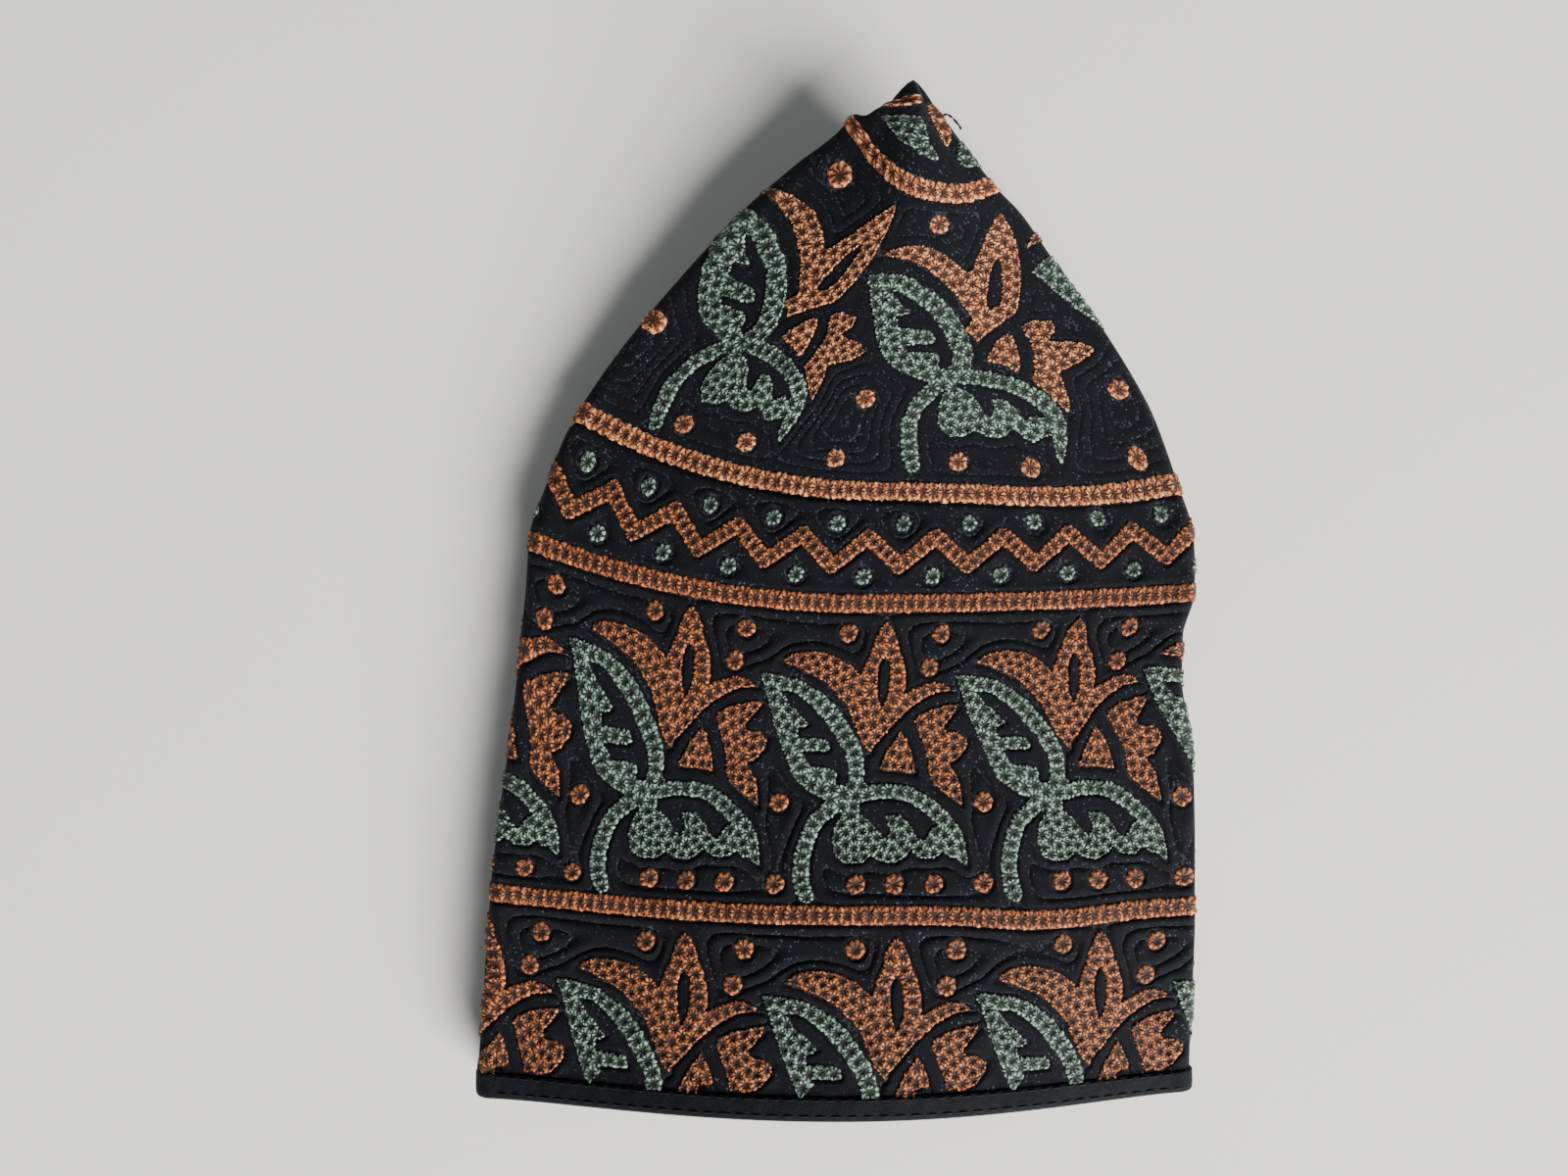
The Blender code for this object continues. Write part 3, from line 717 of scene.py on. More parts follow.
# Petals round the tip, as outlines (a, v).
ROSETTE_GREEN = (
    ((0.17, 6.5), (0.22, 6.6), (0.34, 6.4), (0.43, 6.4), (0.49, 6.8), (0.58, 7.3), (0.57, 8.8), (0.60, 10.3),
     (0.60, 12.0), (0.64, 13.5), (0.66, 15.1), (0.61, 15.0), (0.54, 14.6), (0.44, 12.7), (0.34, 11.7),
     (0.29, 10.1), (0.21, 8.2)),
    ((0.86, 10.6), (0.93, 9.6), (0.97, 10.1), (1.01, 13.1), (0.99, 15.6), (0.86, 16.2), (0.82, 15.4),
     (0.84, 12.8)),
)
ROSETTE_COPPER = (
    ((0.74, 2.6), (0.82, 2.6), (0.86, 4.3), (0.86, 6.8), (0.83, 9.4), (0.79, 11.4), (0.75, 12.3),
     (0.74, 10.1), (0.71, 7.9), (0.68, 5.5)),
    ((0.10, 3.4), (0.21, 2.4), (0.34, 2.2), (0.52, 2.2), (0.60, 2.8), (0.55, 4.4), (0.41, 4.6), (0.20, 4.3)),
)


def disc_outline(corners, shift):
    """An outline of places on the crown as x and y of the flat disc about the tip."""
    a, v = np.array(corners).T
    angle = (a + shift) * np.pi / 2
    return np.column_stack([v * np.cos(angle), v * np.sin(angle)])


ROSETTE_BOX = ((-20.0, -20.0), (20.0, 20.0))
rosette_green = Chart(*ROSETTE_BOX, (), [disc_outline(r, k) for r in ROSETTE_GREEN for k in (0, 2)])
rosette_copper = Chart(*ROSETTE_BOX, (), [disc_outline(r, k) for r in ROSETTE_COPPER for k in (0, 2)])


def tip_to_cloth(x, y):
    """From the flat disc about the tip to places on the cap."""
    return np.arctan2(y, x) / (np.pi / 2), np.hypot(x, y)


def dot_centres():
    """Places of the single eyelets: copper ones on band and crown, green ones beside the zigzag."""
    band = [(BAND_NODE[0] + FLOWER_STEP * k + a, BAND_NODE[1] + v)
            for k in range(BAND_FLOWERS) for a, v in FLOWER_DOTS]
    lower = [(a + LOWER_SHIFT[0], v + LOWER_SHIFT[1]) for a, v in band if v + LOWER_SHIFT[1] < LOWEST_DOT]
    crown = list(CROWN_FRONT_DOTS)
    crown += [(CROWN_NODES[k] + a, v) for k in (5, 6) for a, v in CROWN_BACK_DOTS]
    green = [(ZIGZAG_TURN * k + start, v) for start, v in zip((ZIGZAG_TURN / 2, 0.0), GREEN_ROWS)
             for k in range(ZIGZAG_TURNS)]
    return np.array(band + lower), np.array(crown), np.array(green)


BAND_DOTS, CROWN_DOTS, GREEN_DOTS = dot_centres()


def stripe_line(a, v0, dip, middle, spread):
    """Middle of a stripe round the cap: v0 and, on each side, a dip exp(-x^2) about its middle."""
    return v0 + dip * np.exp(-((np.mod(a, 2.0) - middle) / spread) ** 2)


def off_middle(a, period):
    """How far a lies from the nearest whole number of periods, with its sign."""
    return np.mod(a + period / 2, period) - period / 2


def stitch_distance(a, v):
    """Distances in millimetres from places on the cap: first to the stripes, zigzag and flowers, as a soft
    least, -log(sum of exp(-k d)) / k, so that its contours round off, then to the nearest single eyelet."""
    sharp = 0.85
    total = np.zeros(a.shape)
    for _, v0, half, *dip in BAND_STRIPES + CROWN_STRIPES:
        total += np.exp(-sharp * (np.abs(v - stripe_line(a, v0, *dip)) - half))
    x = off_middle(a, ZIGZAG_TURN) / ZIGZAG_TURN * ZIGZAG_STEP
    total += np.exp(-sharp * zigzag_chart.distance(x, -v))
    on_band = v > RIM / MM - 2
    for da, dv in ((0.0, 0.0), LOWER_SHIFT):
        turn = off_middle(a - BAND_NODE[0] - da, FLOWER_STEP)
        for k in (-1, 0, 1):
            x = (turn + FLOWER_STEP * k) * BAND_QUARTER
            for chart in (flower_copper, flower_green):
                total += np.where(on_band, np.exp(-sharp * chart.distance(x, BAND_NODE[1] + dv - v)), 0.0)
    on_crown = v < RIM / MM + 2
    for k in range(len(CROWN_NODES)):
        x, y = from_crown(a, v, k)
        for chart in (crown_copper, crown_green):
            total += np.where(on_crown, np.exp(-sharp * chart.distance(x, y)), 0.0)
    x, y = v * np.cos(a * np.pi / 2), v * np.sin(a * np.pi / 2)
    for chart in (rosette_green, rosette_copper):
        total += np.where(v < 24, np.exp(-sharp * chart.distance(x, y)), 0.0)
    single = np.full(a.shape, FAR)
    for centres, quarter in ((BAND_DOTS, BAND_QUARTER), (GREEN_DOTS, ZIGZAG_QUARTER), (CROWN_DOTS, None)):
        for a0, v0 in centres:
            x = off_middle(a - a0, 4.0) * (quarter or v0 * np.pi / 2)
            single = np.minimum(single, np.hypot(x, v - v0) - DOT)
    return -np.log(np.maximum(total, 1e-30)) / sharp, single


def embroider():
    """Lays every motif's eyelets on the cap and makes the copper and the green pieces."""
    copper, copper_crown, green, lines, green_crown = [Embroidery(seed) for seed in (11, 12, 13, 14, 15)]
    for chart, where in ((flower_copper, copper), (flower_green, green)):
        seeds = chart.eyelets()
        for k in range(BAND_FLOWERS):
            for da, dv in ((0.0, 0.0), LOWER_SHIFT):
                a0, v0 = BAND_NODE[0] + FLOWER_STEP * k + da, BAND_NODE[1] + dv
                where.add(seeds, chart.distance, lambda x, y: (a0 + x / BAND_QUARTER, v0 - y))
    for chart, where in ((crown_copper, copper_crown), (crown_green, green_crown)):
        seeds = chart.eyelets()
        for k in range(len(CROWN_NODES)):
            where.add(seeds, chart.distance, lambda x, y: crown_flower(x, y, k))
    for chart, where in ((rosette_copper, copper_crown), (rosette_green, green_crown)):
        where.add(chart.eyelets(), chart.distance, tip_to_cloth)
    for stripes, where in ((BAND_STRIPES, lines), (CROWN_STRIPES, copper_crown)):
        for length, v0, half, *dip in stripes:
            # Two more at either end, so that the first and the last one made have neighbours.
            count = int(length / STRIPE_PITCH)
            x = np.arange(-2, count + 2) * length / count
            where.add(np.column_stack([x, 0.06 * np.sin(x)]), lambda x, y: np.abs(y) - half,
                      lambda x, y: (4 * x / length, stripe_line(4 * x / length, v0, *dip) - y),
                      np.arange(2, count + 2))
    seeds = zigzag_chart.eyelets()
    keep = (seeds[:, 0] >= -ZIGZAG_STEP / 2) & (seeds[:, 0] < ZIGZAG_STEP / 2)
    for k in range(ZIGZAG_TURNS):
        lines.add(seeds, zigzag_chart.distance, lambda x, y: (ZIGZAG_TURN * (k + x / ZIGZAG_STEP), -y), keep)
    middle = np.zeros((1, 2))
    for centres, quarter, where, dot in ((BAND_DOTS, BAND_QUARTER, lines, DOT),
                                         (GREEN_DOTS, ZIGZAG_QUARTER, green, GREEN_DOT)):
        for a0, v0 in centres:
            where.add(middle, lambda x, y: np.hypot(x, y) - dot, lambda x, y: (a0 + x / quarter, v0 + y))
    for a0, v0 in CROWN_DOTS:
        copper_crown.add(middle, lambda x, y: np.hypot(x, y) - DOT, lambda x, y: flat_disc(x, y, a0, v0))
    return (copper.made("copper_eyelets_band"), lines.made("copper_eyelets_stripes"),
            copper_crown.made("copper_eyelets_crown"), green.made("green_eyelets_band"),
            green_crown.made("green_eyelets_crown"))


# Length of a quarter round the cap in millimetres, at distances from the tip, for the weave.
QUARTER_AT = (0, 20, 40, 60, 80, 130, 198)
QUARTER_LENGTH = (4, 41, 77, 107, 131, 141.5, 145)
# Cords show nowhere that is this far from every motif, in millimetres.
NO_CORDS = 40.0
POLE_RISE = np.array([1.0, 0.97, 0.85, 0.6, 0.3])


def front_first(a):
    """Places round the cap from the middle of the left pleat on, so that the front is one stretch."""
    return np.where(a > 3.5, a - 4.0, a)


def smoothed(grid, rounds=14):
    """A grid of closed rows after rounds of taking the mean of each point and its four neighbours."""
    for _ in range(rounds):
        grid = (grid + np.roll(grid, 1, 1) + np.roll(grid, -1, 1) + grid[[0, *range(len(grid) - 1)]]
                + grid[[*range(1, len(grid)), -1]]) / 5
    return grid


def pole_rows(ring, height, rise):
    """Rows that close a ring on a rounded point: (1 - r)^0.7 of its size, and height r further out."""
    centre = ring.mean(0)
    return [centre + (ring - centre) * (1 - r) ** 0.7 + np.array([0, height * r, 0]) for r in rise]


def cloth_piece(name, at, out, shares, pole=None, loop_rows=False):
    """The cloth as one closed skin: rows at distances at from the tip and out from mid wall, down the
    outside, round the edge and up the inside.  A pole (outer, inner) closes each end on a rounded point.
    The distances for the cords are smoothed away from the motifs, and there are no cords inside."""
    points = rings(at, shares, out)
    a = np.broadcast_to(around(shares), points.shape[:2])
    v = np.broadcast_to(at[:, None] / MM, a.shape)
    outside = (out > 0)[:, None]
    away, single = stitch_distance(a, v)
    t = np.clip((away - 0.8) / 1.6, 0, 1)
    away = away + (smoothed(away) - away) * t * t * (3 - 2 * t)
    away = np.where(outside, away, NO_CORDS)
    single = np.where(outside, single, NO_CORDS)
    uv = np.stack([(front_first(a) - 1.5) * np.interp(v, QUARTER_AT, QUARTER_LENGTH), -v], 2)
    if pole:
        count = len(POLE_RISE)
        first, last = [np.full((count, a.shape[1]), level) for level in (3.0, NO_CORDS)]
        points = np.concatenate([pole_rows(points[0], pole[0], POLE_RISE), points,
                                 pole_rows(points[-1], pole[1], POLE_RISE[::-1])])
        away = np.concatenate([first, away, last])
        single = np.concatenate([first, single, last])
        uv = np.concatenate([np.repeat(uv[:1], count, 0), uv, np.repeat(uv[-1:], count, 0)])
    rows, columns = points.shape[:2]
    made = mesh_object(name, points.reshape(-1, 3), grid_faces(rows, columns, loop_rows))
    set_attribute(made, "away", away.ravel())
    set_attribute(made, "single", single.ravel())
    layer = made.data.uv_layers.new(name="cloth")
    corner = np.empty(len(made.data.loops), np.int32)
    made.data.loops.foreach_get("vertex_index", corner)
    layer.data.foreach_set("uv", (uv.reshape(-1, 2)[corner] * MM).astype(np.float32).ravel())
    if pole:
        weld(made)
    return made


EDGE = 0.0006


def edge_rows(top, bottom, count, inner_count, dip):
    """Rows of a cloth piece: distances from the tip and moves out from mid wall, with rounded edges and the
    outside pulled in by dip at its top edge."""
    outer = np.linspace(top + EDGE / 2, bottom - EDGE, count)
    inner = np.linspace(bottom - EDGE, top + EDGE / 2, inner_count)
    turn = np.array([0.25, 0.6, 1.0, 1.0, 0.6, 0.25]) * 0.0005
    side = np.array([0.9, 0.6, 0.25, -0.25, -0.6, -0.9]) * WALL / 2
    at = np.concatenate([outer, bottom - EDGE + turn, inner])
    pull = dip * np.exp(-((outer - top) / (2 * EDGE)) ** 2)
    out = np.concatenate([WALL / 2 - pull, side, np.full(inner_count, -WALL / 2)])
    return at, out


def crown_cloth():
    """Crown: from a rounded point at the tip down to the seam, where its edge stands a little proud."""
    at, out = edge_rows(PLACES[0], RIM - SEAM_GAP / 2, 172, 26, 0.0)
    return cloth_piece("crown_cloth", at, out, shares_of(116, 24, 58), (0.0056, 0.0008))


def band_cloth():
    """Side band: a closed belt from the seam to the hem, pulled in under the crown's edge."""
    at, out = edge_rows(RIM - EDGE, HEM - 0.0002, 176, 22, 0.0007)
    return cloth_piece("band_cloth", at, out, shares_of(124, 24, 62), None, True)


# The tape's profile in millimetres: down from its upper edge, and out from mid wall.
TAPE_PROFILE = (
    (0, 0.95), (0, 1.20), (0.15, 1.42), (0.5, 1.50), (1.2, 1.50), (2.2, 1.52), (3.2, 1.50), (3.9, 1.42),
    (4.3, 1.15), (4.55, 0.6), (4.6, 0), (4.55, -0.6), (4.3, -1.1), (3.9, -1.35), (3.2, -1.42),
    (2.2, -1.42), (1.2, -1.42), (0.5, -1.42), (0.15, -1.35), (0, -1.0))
TAPE_QUARTER = 145.0
# Stitching on the tape: down from its upper edge, a stitch's pitch and its length.
STITCH_ROWS = ((0.55, 2.6, 2.0), (3.35, 3.0, 2.3))
STITCHED = 141.0
STITCH_QUARTER = 144.0
STITCH_LIFT = 0.50


def hem_tape():
    """Hem tape: a profile over the outside, under the edge and up the inside, its faces slightly puffed,
    carried round the lower edge on rows parallel to the cloth."""
    down, out = np.array(TAPE_PROFILE).T
    shares = shares_of(150, 24, 80)
    points = rings((TAPE_TOP + down) * MM, shares, out * MM)
    rows, columns = points.shape[:2]
    made = mesh_object("hem_tape", points.reshape(-1, 3), grid_faces(rows, columns))
    along = np.broadcast_to(front_first(around(shares)) * TAPE_QUARTER, (rows, columns))
    tape = np.stack([along, down[:, None] + 0 * along, out[:, None] + 0 * along], 2)
    set_attribute(made, "tape", tape.reshape(-1, 3))
    return made


def capsules(name, starts, ends, radius, sides=8, rows=7):
    """Short stitches: a circle of sides carried from start to end, its radius sin t to the half power."""
    t = np.linspace(0.02, 0.98, rows)
    bulge = np.sqrt(np.sin(np.pi * t))
    angle = 2 * np.pi * np.arange(sides) / sides
    run = ends - starts
    way = run / np.linalg.norm(run, axis=1, keepdims=True)
    side = np.cross(way, np.array([0.0, 0.0, 1.0]))
    side = side / np.maximum(np.linalg.norm(side, axis=1, keepdims=True), 1e-9)
    lift = np.cross(side, way)
    line = starts[:, None] + run[:, None] * t[:, None]
    ring = np.cos(angle)[:, None] * side[:, None] + np.sin(angle)[:, None] * lift[:, None]
    points = line[:, :, None] + radius * bulge[:, None, None] * ring[:, None]
    faces = grid_faces(rows, sides)[None] + (np.arange(len(starts)) * rows * sides)[:, None, None]
    return mesh_object(name, points.reshape(-1, 3), faces.reshape(-1, 4))


def tape_stitches():
    """Machine stitches on the tape: one row along its upper edge and one near its lower edge."""
    starts, ends = [], []
    for down, pitch, length in STITCH_ROWS:
        count = int(STITCHED / pitch)
        v, lift = np.full(count, TAPE_TOP + down), np.full(count, STITCH_LIFT)
        for low in (0.01, 2.01):
            a = low + 0.98 * np.arange(count) / count
            starts.append(place(a, v, lift))
            ends.append(place(a + length / STITCH_QUARTER, v, lift))
    return capsules("tape_stitches", np.concatenate(starts), np.concatenate(ends), 0.00022)


def tip_thread():
    """A loose end of sewing thread at the tip: four short lengths end to end, hooked downwards."""
    root = place(np.array([0.88]), np.array([3.9]), np.array([0.1]))[0]
    bends = root + np.array([[0, 0, 0], [1.0, 0.1, 0.1], [2.0, -0.4, -0.2], [3.4, -1.6, -0.9],
                             [3.9, -2.3, -1.3]]) * MM
    lap = 0.12 * (bends[1:] - bends[:-1])
    return capsules("tip_thread", bends[:-1], bends[1:] + lap, 0.00026, rows=9)


class Wire:
    """A node's output socket.  Arithmetic on it adds Math nodes to its tree, from the left too, as in
    1 - x."""

    def __init__(self, tree, socket):
        self.tree = tree
        self.socket = socket

    def node(self, kind, settings=(), inputs=(), out=0):
        """Adds a node of a kind: its settings first, then its sockets' values or links."""
        made = self.tree.nodes.new(kind)
        for name, value in dict(settings).items():
            setattr(made, name, value)
        for name, value in dict(inputs).items():
            if isinstance(value, Wire):
                self.tree.links.new(value.socket, made.inputs[name])
            else:
                made.inputs[name].default_value = value
        return Wire(self.tree, made.outputs[out])

    def math(self, operation, *values):
        """One Math node on this socket and the other values."""
        return self.node("ShaderNodeMath", {"operation": operation}, enumerate((self,) + values))

    def __add__(self, other):
        return self.math("ADD", other)

    __radd__ = __add__

    def __sub__(self, other):
        return self.math("SUBTRACT", other)

    def __rsub__(self, other):
        return (self * -1.0) + other

    def __mul__(self, other):
        return self.math("MULTIPLY", other)

    __rmul__ = __mul__

    def step(self, low, high, start=0.0, end=1.0):
        """Smooth step: start below low, end above high, and 3t^2 - 2t^3 between."""
        return self.node("ShaderNodeMapRange", {"interpolation_type": "SMOOTHSTEP"},
                         {"Value": self, "From Min": low, "From Max": high, "To Min": start, "To Max": end})

    def blend(self, first, second):
        """Mixes two colours, this socket giving the share of the second."""
        return self.node("ShaderNodeMix", {"data_type": "RGBA"}, {0: self, 6: first, 7: second}, 2)

    def noise(self, scale, detail=3.0, roughness=0.5):
        """Cloud noise read at this vector."""
        return self.node("ShaderNodeTexNoise", (),
                         {"Vector": self, "Scale": scale, "Detail": detail, "Roughness": roughness})

    def parts(self):
        """The three numbers of this vector."""
        split = self.node("ShaderNodeSeparateXYZ", (), {0: self})
        return [Wire(self.tree, socket) for socket in split.socket.node.outputs]

    def attribute(self, name, out="Vector"):
        """The mesh's attribute of a name: its vector, or its number where out is Fac."""
        return self.node("ShaderNodeAttribute", {"attribute_name": name}, (), out)

    def spot(self):
        """The place in the object's own coordinates, in metres."""
        return self.node("ShaderNodeTexCoord", (), (), "Object")


def colour(red, green, blue):
    """A screen colour, 0 to 255, as the shader's linear colour."""
    level = np.array([red, green, blue]) / 255.0
    linear = np.where(level <= 0.04045, level / 12.92, ((level + 0.055) / 1.055) ** 2.4)
    return (*[float(c) for c in linear], 1.0)


# The finishes' own sizes: a cord's width in millimetres, the weave's turns a metre, and strands an eyelet.
CORD_WIDTH = 1.85
WEAVE = 15000.0
STRANDS = 8.0
COTTON = dict(Sheen_Weight=0.03, Sheen_Roughness=0.5, Specular_IOR_Level=0.12)


def material(name, **constants):
    """A material with a Principled shader, its constants set on the shader's own sockets, and a wire of its
    tree to build on."""
    made = bpy.data.materials.new(name)
    made.use_nodes = True
    shader = made.node_tree.nodes["Principled BSDF"]
    for socket, value in constants.items():
        shader.inputs[socket.replace("_", " ")].default_value = value
    return made, Wire(made.node_tree, shader.outputs[0])


def finish_with(start, base, rough, height):
    """Links colour, roughness and, through a Bump node, the height in millimetres to the shader."""
    bump = start.node("ShaderNodeBump", (), {"Strength": 1.0, "Distance": MM, "Height": height})
    for name, wire in (("Base Color", base), ("Roughness", rough), ("Normal", bump)):
        start.tree.links.new(wire.socket, start.socket.node.inputs[name])


def quilted_navy():
    """Navy cotton quilted over cords.  The cords follow the stitched outlines: with t the remainder of the
    distance over a cord's width, their height is 1 - (2t - 1)^2, and the grooves between are painted dark
    with shade, the crests painted lighter.  On them lie a plain weave and specks of painted glint."""
    made, start = material("quilted_navy_cotton", **COTTON)
    spot = start.spot()
    slow = spot.noise(90.0, 2.0)
    away = start.attribute("away", "Fac") + (slow - 0.5) * 0.7
    share = (away * (1 / CORD_WIDTH)).math("FRACT") * 2.0 - 1.0
    near = away.step(4.0, 9.0, 1.0, 0.4) * away.step(30.0, 36.0, 1.0, 0.0)
    cord = (1.0 - share * share) * near * start.attribute("single", "Fac").step(0.0, 0.9)
    x, y, _ = start.node("ShaderNodeUVMap", {"uv_map": "cloth"}).parts()
    weave = (x * WEAVE).math("SINE") * (y * WEAVE).math("SINE")
    grain = spot.noise(2600.0, 2.0, 0.6)
    patch = spot.noise(160.0, 3.0).step(0.45, 0.65)
    # Painted glints: tiny specks of painted highlight, gathered in patches, where the cloth is also less
    # rough.
    chance, _, _ = start.node("ShaderNodeTexVoronoi", (), {"Vector": spot, "Scale": 3600.0}, "Color").parts()
    glint = chance.step(0.955, 0.985) * (0.25 + 0.75 * patch)
    on_band = y.step(-0.086, -0.078, 1.0, 0.0)
    # Painted shade: the cords' grooves are darker and their crests lighter, more so on the band, and the
    # grain is paler on the lit crests.
    crest_light = 1.0 - cord.step(0.10, 1.0, 1.0, 0.0) * (0.42 + 0.20 * on_band)
    base = crest_light.blend(colour(3, 3, 5), colour(9, 10, 15))
    base = (grain.step(0.4, 0.75) * (0.2 + 0.5 * crest_light)).blend(base, colour(18, 20, 27))
    dashes = spot.noise(1500.0, 1.0).step(0.50, 0.58) * cord.step(0.32, 0.10)
    base = (dashes * 0.6).blend(base, colour(52, 55, 63))
    # The glints' painted highlight.
    base = (glint * 0.4).blend(base, colour(110, 118, 134))
    height = cord * (0.26 + 0.36 * on_band) + weave * 0.022 + grain * 0.12 + slow * 0.25
    finish_with(start, base, 0.86 - glint * 0.3, height)
    return made


def eyelet_thread(name, hole, dark, mid, light):
    """Embroidery thread round an eyelet: threads fan out from the centre, sin of the angle times their
    count, dark in the hole, painted shade in the crater and between strands, painted highlights lightest on
    the strands near the rim, each eyelet a little different."""
    made, start = material(name, Sheen_Weight=0.08, Sheen_Roughness=0.35, Specular_IOR_Level=0.35)
    spot = start.spot()
    share, chance, ray = start.attribute("cell").parts()
    x, y, _ = start.attribute("thread").parts()
    fuzz = spot.noise(2300.0, 2.0, 0.6)
    turn = y.math("ARCTAN2", x) * STRANDS + chance * 40.0 + (fuzz - 0.5) * 5.0
    strand = (turn.math("SINE") * 0.5 + 0.5).step(0.22, 0.78)
    radius = (x * x + y * y).math("SQRT")
    edge = radius + (strand - 0.5) * 0.60 + (ray - 0.5) * 0.45 + (fuzz - 0.5) * 0.9
    past_hole = edge.step(0.25, 1.15)
    # Painted shade: the gaps between strands, and the crater towards the hole, are darker.
    base = (0.10 + strand * (0.20 + 0.70 * share.step(0.2, 0.9))).blend(dark, mid)
    # Painted highlight on the strands near the crest.
    base = (share.step(0.45, 0.95) * strand * (0.25 + 0.75 * ray)).blend(base, light)
    # Patches of wear, pulled towards the mid colour.
    duller = spot.noise(120.0, 2.0).step(0.35, 0.7)
    base = (duller * 0.20).blend(base, mid)
    # Specks of painted highlight on the fibres, more towards the rim, then specks of painted shade between
    # them.
    base = (fuzz.step(0.55, 0.64) * (0.15 + 0.65 * share)).blend(base, light)
    base = (fuzz.step(0.48, 0.36) * 0.85).blend(base, dark)
    base = chance.step(0.0, 0.5, 0.35, 0.0).blend(base, dark)
    # The hole: the eyelet's own dark opening, with painted shade at the bottom of the crater.
    base = past_hole.blend(hole, base)
    height = strand * 0.15 * past_hole + fuzz * 0.10 + past_hole * 0.12
    finish_with(start, base, 0.72 - strand * 0.15, height)
    return made


def tape_cotton():
    """Black cotton tape: a fine diagonal weave and a soft crumple, with painted light that makes its crests a
    little paler.
    """
    made, start = material("black_tape_cotton", **COTTON)
    along, down, _ = start.attribute("tape").parts()
    weave = (along * 9.0 + down * 4.0).math("SINE") * (along * 4.0 - down * 9.0).math("SINE")
    crumple = start.spot().noise(260.0, 3.0)
    grain = start.spot().noise(2400.0, 2.0, 0.6)
    base = grain.step(0.35, 0.7).blend(colour(5, 7, 10), colour(11, 14, 19))
    # Painted light: the crumple's crests are paler.
    base = (crumple.step(0.5, 0.8) * 0.5).blend(base, colour(17, 21, 27))
    finish_with(start, base, 0.80 - grain * 0.1, weave * 0.025 + crumple * 0.5 + grain * 0.05)
    return made


def black_thread():
    """Black sewing thread: two plies twisted, the sine of the sum of its coordinates."""
    made, start = material("black_sewing_thread", Sheen_Weight=0.03, Specular_IOR_Level=0.15)
    x, y, z = start.spot().parts()
    ply = ((x + y + z) * 14000.0).math("SINE") * 0.5 + 0.5
    base = ply.blend(colour(4, 5, 7), colour(12, 14, 18))
    finish_with(start, base, 0.55 + ply * 0.1, ply * 0.05)
    return made


def pale_floor():
    """Plain pale floor, with a faint unevenness of its gloss."""
    made, start = material("pale_floor", Specular_IOR_Level=0.2)
    cloud = start.spot().noise(6.0, 2.0)
    base = cloud.blend(colour(228, 227, 220), colour(233, 232, 226))
    finish_with(start, base, 0.75 + cloud * 0.1, cloud * 0.02)
    return made


def dress(piece, finish, slot_name, *nodes):
    """Gives a piece its material and its body, and hides the CAD nodes that it stands for.  Its slot_name is
    not used.
    """
    piece.data.materials.append(finish)
    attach(piece, "root")
    if nodes:
        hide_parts(*nodes)


def area_light(name, spot, size, power, tint):
    """A square soft light at a spot, turned to the middle of the floor."""
    data = bpy.data.lights.new(name, "AREA")
    data.size = size
    data.energy = power
    data.color = tint
    lamp = bpy.data.objects.new(name, data)
    lamp.location = spot
    lamp.rotation_euler = (-Vector(spot)).to_track_quat("-Z", "Y").to_euler()
    bpy.context.scene.collection.objects.link(lamp)


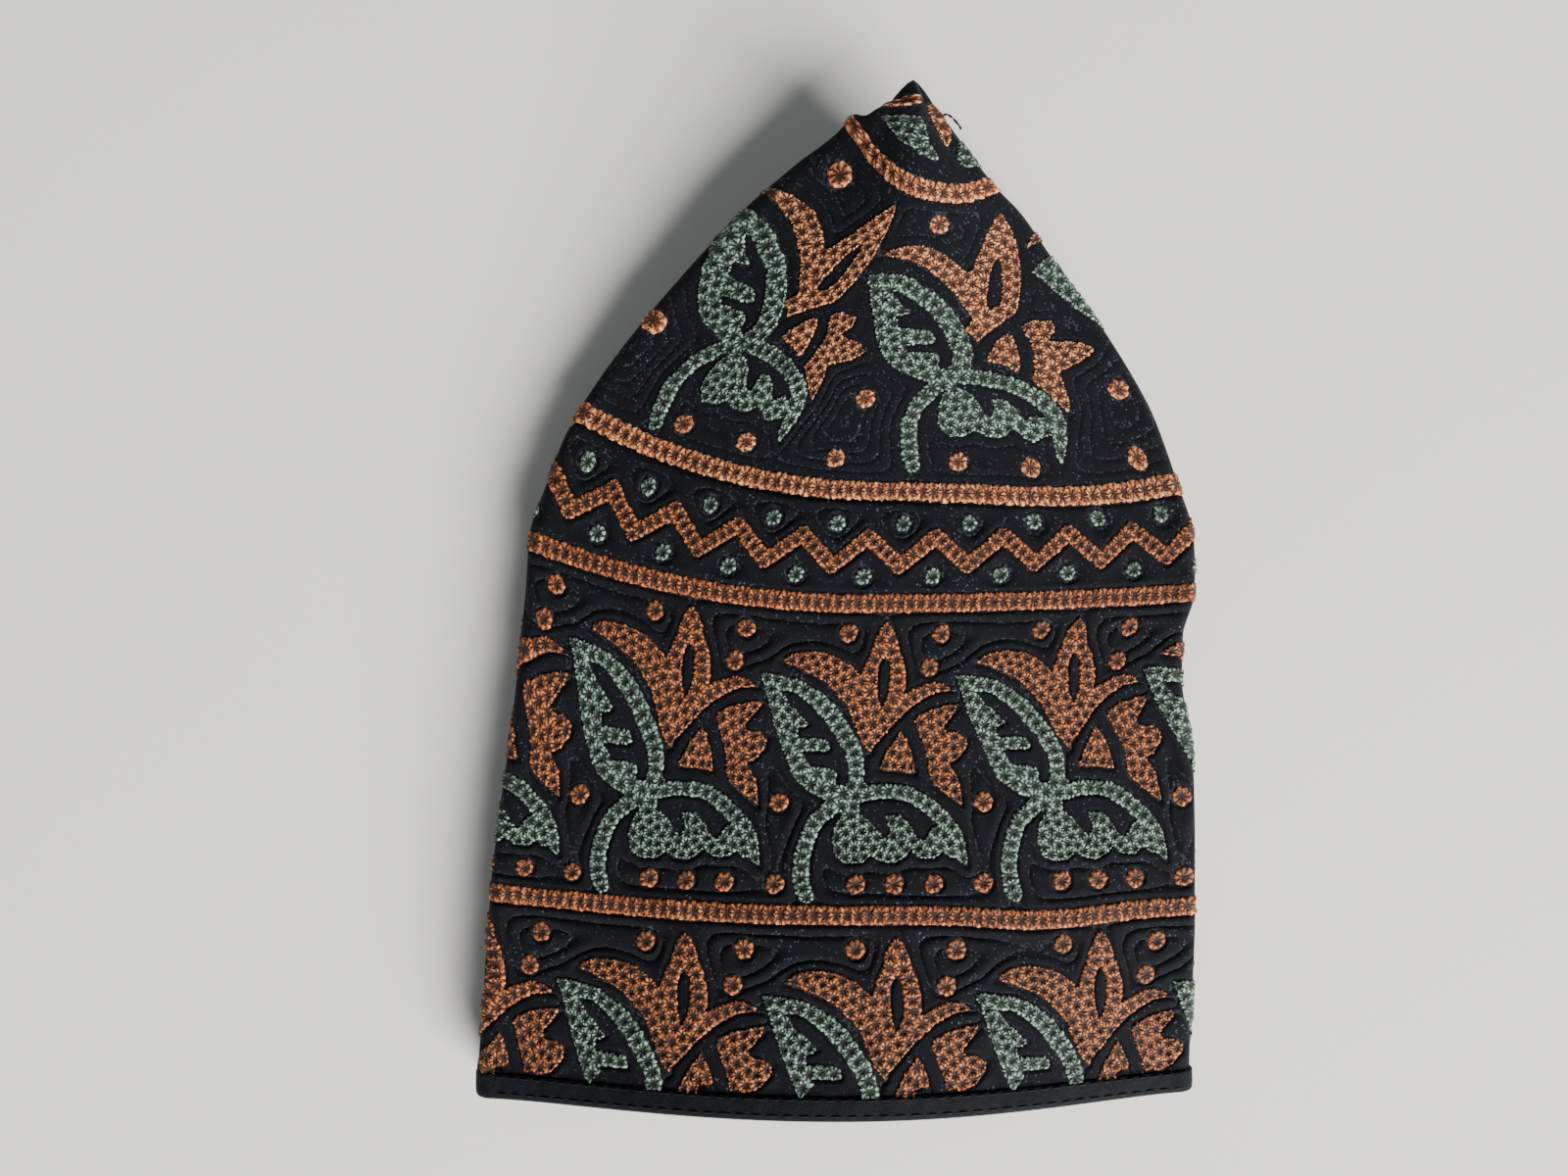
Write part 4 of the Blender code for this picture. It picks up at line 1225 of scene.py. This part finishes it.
def pale_room():
    """The floor just under the tape, and soft light from the lower right with a little from the left."""
    size = 2.0
    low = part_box("hem_binding")[0].z - 0.0002
    corner = np.array([[-size, -size, low], [size, -size, low], [size, size, low], [-size, size, low]])
    floor = mesh_object("floor", corner, np.array([[0, 1, 2, 3]]), False)
    floor.data.materials.append(pale_floor())
    world = bpy.context.scene.world or bpy.data.worlds.new("room")
    bpy.context.scene.world = world
    world.use_nodes = True
    sky = world.node_tree.nodes["Background"]
    sky.inputs["Color"].default_value = (0.86, 0.93, 1.0, 1.0)
    sky.inputs["Strength"].default_value = 0.13
    area_light("window", (1.14, -1.50, 1.20), 1.45, 181.0, (1.0, 0.985, 0.96))
    area_light("room_bounce", (-0.6, 0.3, 1.2), 1.0, 1.6, (0.92, 0.96, 1.0))


# The camera: its lens in millimetres, its distance from where it aims, its tilt, and that aim's place.
LENS = 27.0
CAMERA_AWAY = 0.250
TILT = math.radians(5.0)
AIM = (-ORIGIN[0] - 0.0099, -ORIGIN[1] - 0.0966, 0.0)


def look_down():
    """The camera, back from its aim along a line that tilts towards the hem."""
    back = Vector((0.0, -math.sin(TILT), math.cos(TILT)))
    right = Vector((1.0, 0.0, 0.0))
    turn = Matrix((right, back.cross(right), back)).transposed().to_4x4()
    data = bpy.data.cameras.new("camera")
    data.lens = LENS
    data.sensor_width = 36.0
    data.clip_start = 0.01
    camera = bpy.data.objects.new("camera", data)
    camera.matrix_world = Matrix.Translation(Vector(AIM) + back * CAMERA_AWAY) @ turn
    bpy.context.scene.collection.objects.link(camera)
    bpy.context.scene.camera = camera


# Screen colours of each thread: in the hole, in the shade, in the light, and where it shines, so shade and
# highlights are painted.  The crown's copper thread is lighter than the band's.
THREADS = (
    ("copper_thread_band_darker", (34, 14, 7), (54, 21, 9), (104, 43, 15), (238, 141, 74)),
    ("copper_thread_crown_lighter", (38, 17, 9), (68, 27, 12), (170, 80, 36), (255, 184, 122)),
    ("grey_green_thread", (11, 20, 17), (21, 35, 29), (52, 76, 63), (172, 201, 182)),
)

copper_band, copper_stripes, copper_crown, green_band, green_crown = embroider()
duller, bright, grey_green = [eyelet_thread(name, *[colour(*tone) for tone in tones])
                            for name, *tones in THREADS]
navy = quilted_navy()
sewing = black_thread()
dress(crown_cloth(), navy, "crown_cloth", "crown")
dress(band_cloth(), navy, "band_cloth", "side_band")
dress(hem_tape(), tape_cotton(), "binding_tape", "hem_binding")
dress(tape_stitches(), sewing, "binding_tape")
dress(tip_thread(), sewing, "crown_cloth")
# The band's copper eyelets take the darker copper thread.
dress(copper_band, duller, "band_cloth")
dress(copper_stripes, duller, "band_cloth")
dress(copper_crown, bright, "crown_cloth")
dress(green_band, grey_green, "band_cloth")
dress(green_crown, grey_green, "crown_cloth")
pale_room()
look_down()
